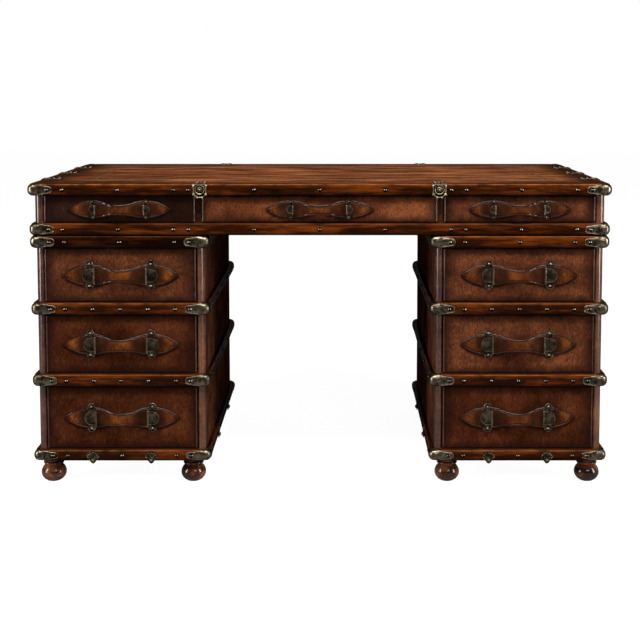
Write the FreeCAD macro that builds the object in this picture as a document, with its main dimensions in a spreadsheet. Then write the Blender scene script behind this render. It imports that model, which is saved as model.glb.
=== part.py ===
"""Leather-clad campaign desk: a three-drawer top section standing on two three-drawer pedestals.

Frame: +Z up, +X to the right of someone facing the drawers, drawers open towards -Y. The origin is
on the floor, midway across the width and midway between the foremost and rearmost points.
All lengths are millimetres. Inner objects are built about the middle of the carcass, and every
exported sub-part carries the same small placement along Y that brings the origin to the middle.
"""
import FreeCAD
import Part
import Sketcher
import math
import os

Vector = FreeCAD.Vector
TOUCH = 0.05    # two places this near each other count as the same
doc = FreeCAD.newDocument("campaign_desk")

# ---------------------------------------------------------------- driving dimensions
SIZES = {
    # plan
    "desk_width": 1514.0,           # over the brass caps of the top
    "desk_depth": 762.0,            # over the brass caps of the top
    "pedestal_width": 438.0,        # carcass of one pedestal
    "pedestal_setback": 2.5,        # pedestal carcass inside the top section's carcass
    "centre_opening": 615.0,        # between the two dividers of the top section
    "divider_thick": 14.0,
    "divider_setback": 10.0,
    # heights, from the floor up
    "foot_height": 67.0,
    "base_rail_height": 28.0,
    "lower_opening": 170.5,
    "middle_opening": 158.5,
    "upper_opening": 145.0,
    "rail_height": 31.0,
    "frieze_rail_height": 30.7,
    "frieze_opening": 73.0,
    "top_rail_height": 30.0,
    # carcass
    "wall_thick": 20.0,
    "frieze_wall": 24.0,
    "back_thick": 12.0,
    "board_thick": 20.0,
    "leather_thick": 2.0,
    "border_width": 130.0,
    "post_round": 11.0,
    "batten_width": 45.0,
    "batten_inset": 30.0,
    # wooden slats round each level
    "top_slat_thick": 13.0,
    "frieze_slat_thick": 10.0,
    "pedestal_slat_thick": 12.0,
    "slat_round": 3.0,
    # brass corner caps
    "cap_wall": 1.2,
    "cap_leg": 63.0,
    "cap_lap": 1.0,                 # the block's reach above and below its slats
    "cap_gap": 0.3,                 # between the caps of the top section and of a pedestal
    "cap_block": 26.0,
    "cap_swell": 2.5,
    "cap_corner_round": 15.0,
    "cap_edge_round": 8.0,
    # domed nails
    "nail_width": 9.0,
    "nail_rise": 2.8,
    "nail_cap_gap": 25.0,
    "rivet_inset": 14.0,
    # clasps on the top and on the base rails
    "clasp_place": 309.5,
    "side_clasp_place": 205.0,
    "clasp_width": 40.0,
    "clasp_waist": 34.0,
    "clasp_foot_width": 38.0,
    "clasp_hook_width": 16.0,
    "clasp_hook_arch": 3.0,
    "clasp_drop": 8.0,
    "clasp_plate": 1.6,
    "clasp_leaf_width": 34.0,
    "clasp_leaf_reach": 52.0,
    "leaf_tack_width": 7.0,
    "leaf_tack_rise": 2.4,
    "leaf_tack_near": 29.0,
    "leaf_tack_far": 43.0,
    "leaf_tack_half_gap": 9.5,
    "rosette_width": 21.0,
    "rosette_rise": 5.0,
    "fan_place": 76.5,
    "fan_width": 33.0,
    "fan_heel_width": 16.5,
    "fan_shoulder": 17.0,
    "fan_drop": 7.0,
    "fan_knob_width": 16.5,
    "fan_knob_level": 8.5,
    "clasp_nail_near": 31.0,
    "clasp_nail_far": 69.0,
    "clasp_nail_inner": 140.0,
    # feet
    "foot_width": 66.0,
    "foot_rise": 30.0,
    "foot_middle": 28.0,
    "foot_neck_width": 45.0,
    "foot_collar_width": 52.0,
    "foot_collar_height": 5.0,
    "foot_collar_level": 53.0,
    "foot_inset": 37.0,
    "outer_foot_inset": 28.0,
    # drawers
    "drawer_reveal": 1.5,
    "runner_gap": 0.5,
    "drawer_end_gap": 0.8,
    "front_thick": 18.0,
    "front_round": 2.0,
    "drawer_side": 11.0,
    "drawer_bottom": 6.0,
    "bottom_lift": 9.0,
    "headroom": 14.0,
    # strap handles
    "strap_thick": 4.0,
    "strap_bow": 22.0,
    "strap_seat": 0.3,
    "pedestal_strap_length": 304.0,
    "pedestal_strap_lobe": 56.0,
    "pedestal_strap_waist": 31.0,
    "pedestal_fitting_span": 160.0,
    "frieze_side_strap_length": 267.0,
    "frieze_centre_strap_length": 284.0,
    "frieze_strap_lobe": 46.0,
    "frieze_strap_waist": 25.0,
    "frieze_side_fitting_span": 137.0,
    "frieze_centre_fitting_span": 150.0,
    # metal fittings that hold the straps
    "bridge_thick": 2.5,
    "bridge_width": 12.0,
    "lug_width": 19.0,
    "pedestal_lug_reach": 38.0,
    "frieze_lug_reach": 25.0,
    "frieze_lug_width": 9.0,
    "pedestal_plate_width": 32.0,
    "pedestal_plate_height": 36.0,
    "frieze_plate_width": 17.0,
    "frieze_plate_height": 20.0,
    "plate_thick": 3.0,
    "fitting_gap": 0.3,
    "fitting_rivet_width": 8.0,
    "fitting_rivet_rise": 3.0,
}

sheet = doc.addObject("Spreadsheet::Sheet", "Dims")
for row, (alias, amount) in enumerate(SIZES.items(), start=1):
    sheet.set(f"A{row}", alias)
    sheet.set(f"B{row}", str(amount))
    sheet.setAlias(f"B{row}", alias)
doc.recompute()


def number(expression):
    """The present value of an expression over the sheet's cells."""
    return float(sheet.evalExpression(str(expression)))


def plus(*terms):
    return "(" + " + ".join(str(term) for term in terms) + ")"


def minus(first, *others):
    return "(" + " - ".join([str(first)] + [str(term) for term in others]) + ")"


def negative(term):
    return f"(0 - {term})"


# ---------------------------------------------------------------- places worked out from the sheet
# half sizes of the two carcasses, measured from the middle of the desk
top_face_x = "(Dims.desk_width / 2 - Dims.cap_swell)"
top_face_y = "(Dims.desk_depth / 2 - Dims.cap_swell)"
frieze_x = minus(top_face_x, "Dims.top_slat_thick")
frieze_y = minus(top_face_y, "Dims.top_slat_thick")
pedestal_outer_x = minus(frieze_x, "Dims.pedestal_setback")
pedestal_y = minus(frieze_y, "Dims.pedestal_setback")
pedestal_half = "(Dims.pedestal_width / 2)"
pedestal_middle = minus(pedestal_outer_x, pedestal_half)

# levels
base_low = "Dims.foot_height"
base_high = plus(base_low, "Dims.base_rail_height")
second_low = plus(base_high, "Dims.lower_opening")
second_high = plus(second_low, "Dims.rail_height")
third_low = plus(second_high, "Dims.middle_opening")
third_high = plus(third_low, "Dims.rail_height")
fourth_low = plus(third_high, "Dims.upper_opening")
fourth_high = plus(fourth_low, "Dims.rail_height")
frieze_low = plus(fourth_high, "2 * Dims.cap_lap", "Dims.cap_gap")
frieze_high = plus(frieze_low, "Dims.frieze_rail_height")
top_low = plus(frieze_high, "Dims.frieze_opening")
top_high = plus(top_low, "Dims.top_rail_height")

# the strap handles reach furthest forward and the rosettes on the back edge furthest back
handle_reach = plus("Dims.strap_seat", "Dims.strap_bow", "Dims.strap_thick")
rosette_reach = plus("Dims.clasp_plate", "Dims.rosette_rise")
foremost = plus(frieze_y, handle_reach)
rearmost = plus(top_face_y, rosette_reach)
shift_y = f"(({foremost} - {rearmost}) / 2)"


# ---------------------------------------------------------------- helpers
def block(name, low, high):
    """A box between two corners, each given as three expressions."""
    solid = doc.addObject("Part::Box", name)
    for side, first, last in zip(("Length", "Width", "Height"), low, high):
        solid.setExpression(side, minus(last, first))
    for letter, first in zip("xyz", low):
        solid.setExpression(f"Placement.Base.{letter}", str(first))
    return solid


def edges_where(solid, test):
    """Numbers of the edges of an object whose middle and direction pass the test."""
    found = []
    for index, edge in enumerate(solid.Shape.Edges, start=1):
        along = (edge.Vertexes[-1].Point - edge.Vertexes[0].Point).normalize()
        if test(edge.CenterOfMass, along):
            found.append(index)
    return found


def rounded(name, solid, radius, test):
    """The solid with the edges that pass the test rounded."""
    solid.recompute()
    soft = doc.addObject("Part::Fillet", name)
    soft.Base = solid
    soft.Edges = [(index, radius, radius) for index in edges_where(solid, test)]
    return soft


def place_node(node, label):
    """Gives an exported sub-part its name and the shift that all of them share."""
    node.Label = label
    node.setExpression("Placement.Base.y", shift_y)
    nodes.append(node)
    return node


def group(label, members):
    """An exported sub-part made of separate solids."""
    node = doc.addObject("Part::Compound", label)
    node.Links = members
    return place_node(node, label)


def shaped(label, shapes):
    """An exported sub-part whose solids are worked out here from the sheet's values."""
    node = doc.addObject("Part::Feature", label)
    node.Shape = Part.makeCompound(shapes)
    return place_node(node, label)


nodes = []
sides = (("left", -1), ("right", 1))


def beside(sign, expression):
    """An X expression on the left (-1) or right (+1) half of the desk."""
    return f"({sign} * {expression})"


def span(sign, near, far):
    """Two X expressions in rising order for a stretch on one half of the desk."""
    ends = [beside(sign, near), beside(sign, far)]
    return ends if sign > 0 else ends[::-1]


# ---------------------------------------------------------------- slats round each level
def slats(prefix, middle_x, half_x, half_y, thick, low, high):
    """Front, back, left and right slats that dress one level of a carcass."""
    radius = number("Dims.slat_round")
    west = minus(middle_x, half_x)
    east = plus(middle_x, half_x)
    south = negative(half_y)
    runs = (
        ("front", (west, minus(south, thick), low), (east, south, high), Vector(0, -1, 0)),
        ("back", (west, half_y, low), (east, plus(half_y, thick), high), Vector(0, 1, 0)),
        ("left", (minus(west, thick), south, low), (west, half_y, high), Vector(-1, 0, 0)),
        ("right", (east, south, low), (plus(east, thick), half_y, high), Vector(1, 0, 0)),
    )
    made = []
    for where, low_corner, high_corner, outward in runs:
        raw = block(f"{prefix}_{where}_raw", low_corner, high_corner)
        raw.recompute()
        face = raw.Shape.BoundBox.Center.dot(outward) + number(thick) / 2

        def long_outer_edge(middle, along):
            return middle.dot(outward) > face - TOUCH and abs(along.z) < TOUCH

        made.append(rounded(f"{prefix}_{where}", raw, radius, long_outer_edge))
    return made


# ---------------------------------------------------------------- brass corner caps
def cap_shape(thick, height):
    """One cap. The corner of the slats' outer faces is the local origin, and the wood is at -X, -Y."""
    wall = number("Dims.cap_wall")
    leg = number("Dims.cap_leg")
    lap = number("Dims.cap_lap")
    size = number("Dims.cap_block")
    swell = number("Dims.cap_swell")
    tall = height + 2 * lap
    round_end = height / 2
    straight = leg - round_end
    corner_round = number("Dims.cap_corner_round")
    swollen = Part.makeBox(size + swell, size + swell, tall, Vector(-size, -size, -lap))
    corner = [
        edge for edge in swollen.Edges
        if min(edge.BoundBox.XMin, edge.BoundBox.YMin) > swell - TOUCH
    ]
    swollen = swollen.makeFillet(corner_round, corner)
    rims = [
        edge for edge in swollen.Edges
        if edge.BoundBox.ZLength < TOUCH
        and max(edge.CenterOfMass.x, edge.CenterOfMass.y) > swell - corner_round
        and max(edge.BoundBox.XMax, edge.BoundBox.YMax) > swell - TOUCH
    ]
    swollen = swollen.makeFillet(number("Dims.cap_edge_round"), rims)
    plate = Part.makeBox(straight - size + wall, wall, height, Vector(-straight, 0, 0))
    end = Part.makeCylinder(round_end, wall, Vector(-straight, 0, round_end), Vector(0, 1, 0))
    leg_x = plate.fuse(end)
    leg_y = leg_x.mirror(Vector(0, 0, 0), Vector(1, -1, 0))
    cap = swollen.fuse([leg_x, leg_y]).removeSplitter()
    reach = 2 * leg
    wood_x = Part.makeBox(reach, thick, height, Vector(-reach - thick, -thick, 0))
    arrises = [
        edge for edge in wood_x.Edges
        if abs(edge.BoundBox.YMin) < TOUCH and edge.BoundBox.XLength > thick
    ]
    wood_x = wood_x.makeFillet(number("Dims.slat_round"), arrises)
    wood_y = wood_x.mirror(Vector(0, 0, 0), Vector(1, -1, 0))
    carcass = Part.makeBox(reach, reach, 2 * reach, Vector(-reach - thick, -reach - thick, -reach))
    return cap.cut([wood_x, wood_y, carcass])


def caps(middle_x, half_x, half_y, thick, low, high):
    """Caps on the four corners of one level."""
    thickness = number(thick)
    one = cap_shape(thickness, number(high) - number(low))
    made = []
    for turn, sign_x, sign_y in ((0, 1, 1), (90, -1, 1), (180, -1, -1), (270, 1, -1)):
        cap = one.copy()
        cap.rotate(Vector(0, 0, 0), Vector(0, 0, 1), turn)
        at_x = number(middle_x) + sign_x * (number(half_x) + thickness)
        at_y = sign_y * (number(half_y) + thickness)
        cap.translate(Vector(at_x, at_y, number(low)))
        made.append(cap)
    return made


# ---------------------------------------------------------------- domed nails
def dome(width, rise, foot, outward):
    """A flat-backed dome that stands on a face, pointing outward."""
    radius = (width * width / 4 + rise * rise) / (2 * rise)
    start = math.degrees(math.asin((radius - rise) / radius))
    return Part.makeSphere(radius, foot - outward * (radius - rise), outward, start, 90, 360)


def nail_line(middle, axis, offsets, outward):
    """Nails at offsets either side of a middle point, one at an offset of nought."""
    width = number("Dims.nail_width")
    rise = number("Dims.nail_rise")
    made = []
    for offset in offsets:
        for sign in ((1, -1) if offset else (1,)):
            made.append(dome(width, rise, middle + axis * (sign * offset), outward))
    return made


def nails(middle_x, half_x, half_y, thick, low, high, front_offsets, side_offsets):
    """Nails on the four faces of one level, and the rivet near the end of each cap's legs."""
    face_x = number(half_x) + number(thick)
    face_y = number(half_y) + number(thick)
    level = (number(low) + number(high)) / 2
    centre = Vector(number(middle_x), 0, level)
    wall = number("Dims.cap_wall")
    rivet_back = number("Dims.cap_leg") - number("Dims.rivet_inset")
    made = []
    for sign in (-1, 1):
        front = Vector(0, sign, 0)
        side = Vector(sign, 0, 0)
        along_x = Vector(1, 0, 0)
        along_y = Vector(0, 1, 0)
        made += nail_line(centre + front * face_y, along_x, front_offsets, front)
        made += nail_line(centre + side * face_x, along_y, side_offsets, side)
        made += nail_line(centre + front * (face_y + wall), along_x, [face_x - rivet_back], front)
        made += nail_line(centre + side * (face_x + wall), along_y, [face_y - rivet_back], side)
    return made


def clear_half(half, thick):
    """Half the stretch of a face that is free for nails between two caps."""
    return number(half) + number(thick) - number("Dims.cap_leg") - number("Dims.nail_cap_gap")


# ---------------------------------------------------------------- clasps
def turned_to(shape, outward, foot):
    """A shape made facing -Y at the origin, turned to face outward and moved to its foot."""
    angle = math.degrees(math.atan2(outward.y, outward.x)) + 90
    placed = shape.copy()
    placed.rotate(Vector(0, 0, 0), Vector(0, 0, 1), angle)
    placed.translate(foot)
    return placed


def top_clasp():
    """Flared plate with a hook below and a leaf tacked down on the top, and a domed rosette."""
    head = number("Dims.clasp_width / 2")
    waist = number("Dims.clasp_waist / 2")
    heel = number("Dims.clasp_foot_width / 2")
    hook = number("Dims.clasp_hook_width / 2")
    drop = number("Dims.clasp_drop")
    arch = drop - number("Dims.clasp_hook_arch")
    plate = number("Dims.clasp_plate")
    tall = number("Dims.top_rail_height")
    leaf = number("Dims.clasp_leaf_width")
    left = [Vector(-head, 0, tall), Vector(-heel, 0, 0), Vector(-hook, 0, -drop)]
    right = [Vector(hook, 0, -drop), Vector(heel, 0, 0), Vector(head, 0, tall)]
    outline = Part.Wire([
        Part.Arc(left[0], Vector(-waist, 0, tall / 2), left[1]).toShape(),
        Part.LineSegment(left[1], left[2]).toShape(),
        Part.Arc(left[2], Vector(0, 0, -arch), right[0]).toShape(),
        Part.LineSegment(right[0], right[1]).toShape(),
        Part.Arc(right[1], Vector(waist, 0, tall / 2), right[2]).toShape(),
        Part.LineSegment(right[2], left[0]).toShape(),
    ])
    body = Part.Face(outline).extrude(Vector(0, -plate, 0))
    reach = number("Dims.clasp_leaf_reach") + plate
    lip = Part.makeBox(leaf, reach, plate, Vector(-leaf / 2, -plate, tall))
    body = body.fuse(lip).removeSplitter()
    middle = Vector(0, -plate, tall / 2)
    rosette = dome(number("Dims.rosette_width"), number("Dims.rosette_rise"), middle, Vector(0, -1, 0))
    aside = number("Dims.leaf_tack_half_gap")
    near = number("Dims.leaf_tack_near")
    far = number("Dims.leaf_tack_far")
    tacks = [
        dome(number("Dims.leaf_tack_width"), number("Dims.leaf_tack_rise"),
             Vector(across, deep, tall + plate), Vector(0, 0, 1))
        for across, deep in ((0, near), (-aside, far), (aside, far))
    ]
    return [body, rosette] + tacks


def fan_clasp():
    """Fan-shaped plate that hangs a little below the base rail, and its drop knob."""
    wing = number("Dims.fan_width / 2")
    heel = number("Dims.fan_heel_width / 2")
    shoulder = number("Dims.fan_shoulder")
    drop = number("Dims.fan_drop")
    plate = number("Dims.clasp_plate")
    tall = number("Dims.base_rail_height")
    left = [Vector(-wing, 0, shoulder), Vector(-heel, 0, 0)]
    right = [Vector(wing, 0, shoulder), Vector(heel, 0, 0)]
    outline = Part.Wire([
        Part.Arc(left[0], Vector(0, 0, tall), right[0]).toShape(),
        Part.LineSegment(right[0], right[1]).toShape(),
        Part.Arc(right[1], Vector(0, 0, -drop), left[1]).toShape(),
        Part.LineSegment(left[1], left[0]).toShape(),
    ])
    body = Part.Face(outline).extrude(Vector(0, -plate, 0))
    middle = Vector(0, -plate, number("Dims.fan_knob_level"))
    knob = dome(number("Dims.fan_knob_width"), number("Dims.rosette_rise"), middle, Vector(0, -1, 0))
    return [body, knob]


def clasps_round(parts, middle_x, face_x, face_y, low, front_places, side_places):
    """Clasps at the given places along the front and back and along the two ends of one level."""
    made = []
    base = Vector(middle_x, 0, low)
    for sign in (-1, 1):
        for shape in parts:
            for place in front_places:
                foot = base + Vector(place, sign * face_y, 0)
                made.append(turned_to(shape, Vector(0, sign, 0), foot))
            for place in side_places:
                foot = base + Vector(sign * face_x, place, 0)
                made.append(turned_to(shape, Vector(sign, 0, 0), foot))
    return made


def either_way(place):
    """A place on both sides of the middle."""
    return [-place, place]


# ---------------------------------------------------------------- top section
all_x = (negative(frieze_x), frieze_x)
board_top = minus(top_high, "Dims.leather_thick")
top_core = block("top_core", (all_x[0], negative(frieze_y), top_low), (all_x[1], frieze_y, board_top))
group("top_board", [top_core])
middle_hide_x = minus(frieze_x, "Dims.border_width")
middle_hide_y = minus(frieze_y, "Dims.border_width")
group("top_leather", [
    block(name, (low_x, low_y, board_top), (high_x, high_y, top_high))
    for name, low_x, low_y, high_x, high_y in (
        ("middle_hide", negative(middle_hide_x), negative(middle_hide_y), middle_hide_x, middle_hide_y),
        ("front_border", all_x[0], negative(frieze_y), all_x[1], negative(middle_hide_y)),
        ("back_border", all_x[0], middle_hide_y, all_x[1], frieze_y),
        ("left_border", all_x[0], negative(middle_hide_y), negative(middle_hide_x), middle_hide_y),
        ("right_border", middle_hide_x, negative(middle_hide_y), all_x[1], middle_hide_y),
    )
])

top_ring = ("0", frieze_x, frieze_y, "Dims.top_slat_thick", top_low, top_high)
frieze_ring = ("0", frieze_x, frieze_y, "Dims.frieze_slat_thick", frieze_low, frieze_high)
group("top_edge_slats", slats("top_slat", *top_ring))
group("frieze_slats", slats("frieze_slat", *frieze_ring))
shaped("top_section_corner_caps", caps(*top_ring) + caps(*frieze_ring))

frieze_board_low = minus(frieze_high, "Dims.board_thick")
frieze_board = block(
    "frieze_board", (all_x[0], negative(frieze_y), frieze_board_low), (all_x[1], frieze_y, frieze_high)
)
group("frieze_bottom_board", [frieze_board])

frieze_inner_x = minus(frieze_x, "Dims.frieze_wall")
frieze_post_y = minus(frieze_y, "Dims.frieze_wall")
frieze_back_y = minus(frieze_y, "Dims.back_thick")
divider_near = "(Dims.centre_opening / 2)"
divider_far = plus(divider_near, "Dims.divider_thick")
divider_front = plus(negative(frieze_y), "Dims.divider_setback")
panels = []
for side, sign in sides:
    wall = span(sign, frieze_inner_x, frieze_x)
    divider = span(sign, divider_near, divider_far)
    panels.append(block(
        f"frieze_{side}_panel",
        (wall[0], negative(frieze_post_y), frieze_high),
        (wall[1], frieze_post_y, top_low),
    ))
    panels.append(block(
        f"frieze_{side}_divider",
        (divider[0], divider_front, frieze_high),
        (divider[1], frieze_back_y, top_low),
    ))
panels.append(block(
    "frieze_back",
    (negative(frieze_inner_x), frieze_back_y, frieze_high),
    (frieze_inner_x, frieze_y, top_low),
))
group("frieze_panels", panels)


def posts(prefix, middle_x, half_x, half_y, width, low, high):
    """Rounded posts at the four corners of a carcass."""
    radius = number("Dims.post_round")
    made = []
    for side, sign_x in sides:
        for end, sign_y in (("front", -1), ("back", 1)):
            near_x, far_x = minus(half_x, width), half_x
            near_y, far_y = minus(half_y, width), half_y
            xs = [plus(middle_x, edge) for edge in span(sign_x, near_x, far_x)]
            ys = span(sign_y, near_y, far_y)
            raw = block(f"{prefix}_{side}_{end}_raw", (xs[0], ys[0], low), (xs[1], ys[1], high))
            raw.recompute()
            box = raw.Shape.BoundBox
            corner_x = box.XMax if sign_x > 0 else box.XMin
            corner_y = box.YMax if sign_y > 0 else box.YMin

            def outer_corner(middle, along):
                return abs(middle.x - corner_x) < TOUCH and abs(middle.y - corner_y) < TOUCH

            made.append(rounded(f"{prefix}_{side}_{end}", raw, radius, outer_corner))
    return made


group("frieze_posts", posts("frieze_post", "0", frieze_x, frieze_y, "Dims.frieze_wall", frieze_high, top_low))

battens = []
for side, sign in sides:
    for edge, towards in (("inner", -1), ("outer", 1)):
        near = minus(pedestal_half, "Dims.batten_inset", "Dims.batten_width")
        far = minus(pedestal_half, "Dims.batten_inset")
        middle = beside(sign, pedestal_middle)
        xs = [plus(middle, place) for place in span(towards, near, far)]
        reach_y = minus(pedestal_y, "Dims.batten_inset")
        battens.append(block(
            f"{side}_{edge}_batten",
            (xs[0], negative(reach_y), fourth_high),
            (xs[1], reach_y, frieze_board_low),
        ))
group("support_battens", battens)

shaped("top_clasps", clasps_round(
    top_clasp(), 0, number(top_face_x), number(top_face_y), number(top_low),
    either_way(number("Dims.clasp_place")), [0] + either_way(number("Dims.side_clasp_place")),
))

# ---------------------------------------------------------------- pedestals
levels = (
    ("base", base_low, base_high),
    ("second", second_low, second_high),
    ("third", third_low, third_high),
    ("fourth", fourth_low, fourth_high),
)
pedestal_inner_half = minus(pedestal_half, "Dims.wall_thick")
pedestal_post_y = minus(pedestal_y, "Dims.wall_thick")
pedestal_back_y = minus(pedestal_y, "Dims.back_thick")
top_board_low = minus(fourth_high, "Dims.board_thick")


def foot(name, at_x, at_y):
    """A turned bun foot with a neck and a collar."""
    bun = doc.addObject("Part::Ellipsoid", f"{name}_bun")
    bun.Angle1 = -90
    bun.Angle2 = 90
    bun.Angle3 = 360
    bun.setExpression("Radius1", "Dims.foot_rise")
    bun.setExpression("Radius2", "Dims.foot_width / 2")
    bun.setExpression("Radius3", "Dims.foot_width / 2")
    bun.setExpression("Placement.Base.z", "Dims.foot_middle")
    neck = doc.addObject("Part::Cylinder", f"{name}_neck")
    neck.setExpression("Radius", "Dims.foot_neck_width / 2")
    neck.setExpression("Height", "Dims.foot_height - Dims.foot_middle")
    neck.setExpression("Placement.Base.z", "Dims.foot_middle")
    collar = doc.addObject("Part::Cylinder", f"{name}_collar")
    collar.setExpression("Radius", "Dims.foot_collar_width / 2")
    collar.setExpression("Height", "Dims.foot_collar_height")
    collar.setExpression("Placement.Base.z", "Dims.foot_collar_level")
    whole = doc.addObject("Part::MultiFuse", f"{name}_whole")
    whole.Shapes = [bun, neck, collar]
    reach = "Dims.foot_width"
    under = negative(reach)
    floor = block(f"{name}_floor", (under, under, under), (reach, reach, "0"))
    turned = doc.addObject("Part::Cut", name)
    turned.Base = whole
    turned.Tool = floor
    turned.setExpression("Placement.Base.x", at_x)
    turned.setExpression("Placement.Base.y", at_y)
    return turned


for side, sign in sides:
    middle = beside(sign, pedestal_middle)
    west = minus(middle, pedestal_half)
    east = plus(middle, pedestal_half)
    inner_west = minus(middle, pedestal_inner_half)
    inner_east = plus(middle, pedestal_inner_half)
    front = negative(pedestal_y)
    group(f"{side}_panels", [
        block(f"{side}_west_panel", (west, negative(pedestal_post_y), base_high),
              (inner_west, pedestal_post_y, top_board_low)),
        block(f"{side}_east_panel", (inner_east, negative(pedestal_post_y), base_high),
              (east, pedestal_post_y, top_board_low)),
        block(f"{side}_back_panel", (inner_west, pedestal_back_y, base_high),
              (inner_east, pedestal_y, top_board_low)),
    ])
    boards = [
        block(f"{side}_base_board", (west, front, base_low), (east, pedestal_y, base_high)),
        block(f"{side}_top_board", (west, front, top_board_low), (east, pedestal_y, fourth_high)),
    ]
    for name, low, high in levels[1:3]:
        boards.append(block(
            f"{side}_{name}_board", (inner_west, front, minus(high, "Dims.board_thick")),
            (inner_east, pedestal_back_y, high),
        ))
    group(f"{side}_boards", boards)
    group(f"{side}_posts", posts(
        f"{side}_post", middle, pedestal_half, pedestal_y, "Dims.wall_thick", base_high, top_board_low
    ))
    rings = [(middle, pedestal_half, pedestal_y, "Dims.pedestal_slat_thick", low, high)
             for name, low, high in levels]
    ring_slats = []
    ring_caps = []
    for (name, low, high), ring in zip(levels, rings):
        ring_slats += slats(f"{side}_{name}_slat", *ring)
        ring_caps += caps(*ring)
    group(f"{side}_slats", ring_slats)
    shaped(f"{side}_corner_caps", ring_caps)
    inner_foot = beside(-sign, minus(pedestal_half, "Dims.foot_inset"))
    outer_foot = beside(sign, minus(pedestal_half, "Dims.outer_foot_inset"))
    foot_y = minus(pedestal_y, "Dims.foot_inset")
    group(f"{side}_feet", [
        foot(f"{side}_{name}_foot", plus(middle, foot_x), beside(sign_y, foot_y))
        for name, foot_x, sign_y in (
            ("front_inner", inner_foot, -1), ("front_outer", outer_foot, -1),
            ("back_inner", inner_foot, 1), ("back_outer", outer_foot, 1),
        )
    ])

# ---------------------------------------------------------------- clasps and nails of the pedestals
pedestal_thick = "Dims.pedestal_slat_thick"
run_x = clear_half(pedestal_half, pedestal_thick)
run_y = clear_half(pedestal_y, pedestal_thick)
fans = []
for side, sign in sides:
    fans += clasps_round(
        fan_clasp(), sign * number(pedestal_middle),
        number(pedestal_half) + number(pedestal_thick), number(pedestal_y) + number(pedestal_thick),
        number(base_low), either_way(number("Dims.fan_place")), either_way(run_y / 2),
    )
shaped("base_clasps", fans)

wide_x = clear_half(frieze_x, "Dims.top_slat_thick")
wide_y = clear_half(frieze_y, "Dims.top_slat_thick")
clasp_x = number("Dims.clasp_place")
clasp_y = number("Dims.side_clasp_place")
near = number("Dims.clasp_nail_near")
far = number("Dims.clasp_nail_far")
inner = number("Dims.clasp_nail_inner")
front_row = [0, clasp_x - inner, clasp_x + near, clasp_x + far, (clasp_x + far + wide_x) / 2, wide_x]
side_row = [near, clasp_y - near, clasp_y + near, wide_y]
all_nails = nails(*top_ring, front_row, side_row) + nails(*frieze_ring, front_row, side_row)
few_x = [0, run_x]
many_x = [0, run_x / 2, run_x]
few_y = [0, run_y]
many_y = [0, run_y / 2, run_y]
rows = {"base": (few_x, few_y), "second": (many_x, many_y), "third": (many_x, many_y),
        "fourth": (few_x, many_y)}
for side, sign in sides:
    for name, low, high in levels:
        ring = (beside(sign, pedestal_middle), pedestal_half, pedestal_y, pedestal_thick, low, high)
        all_nails += nails(*ring, *rows[name])
shaped("nails", all_nails)


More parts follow.
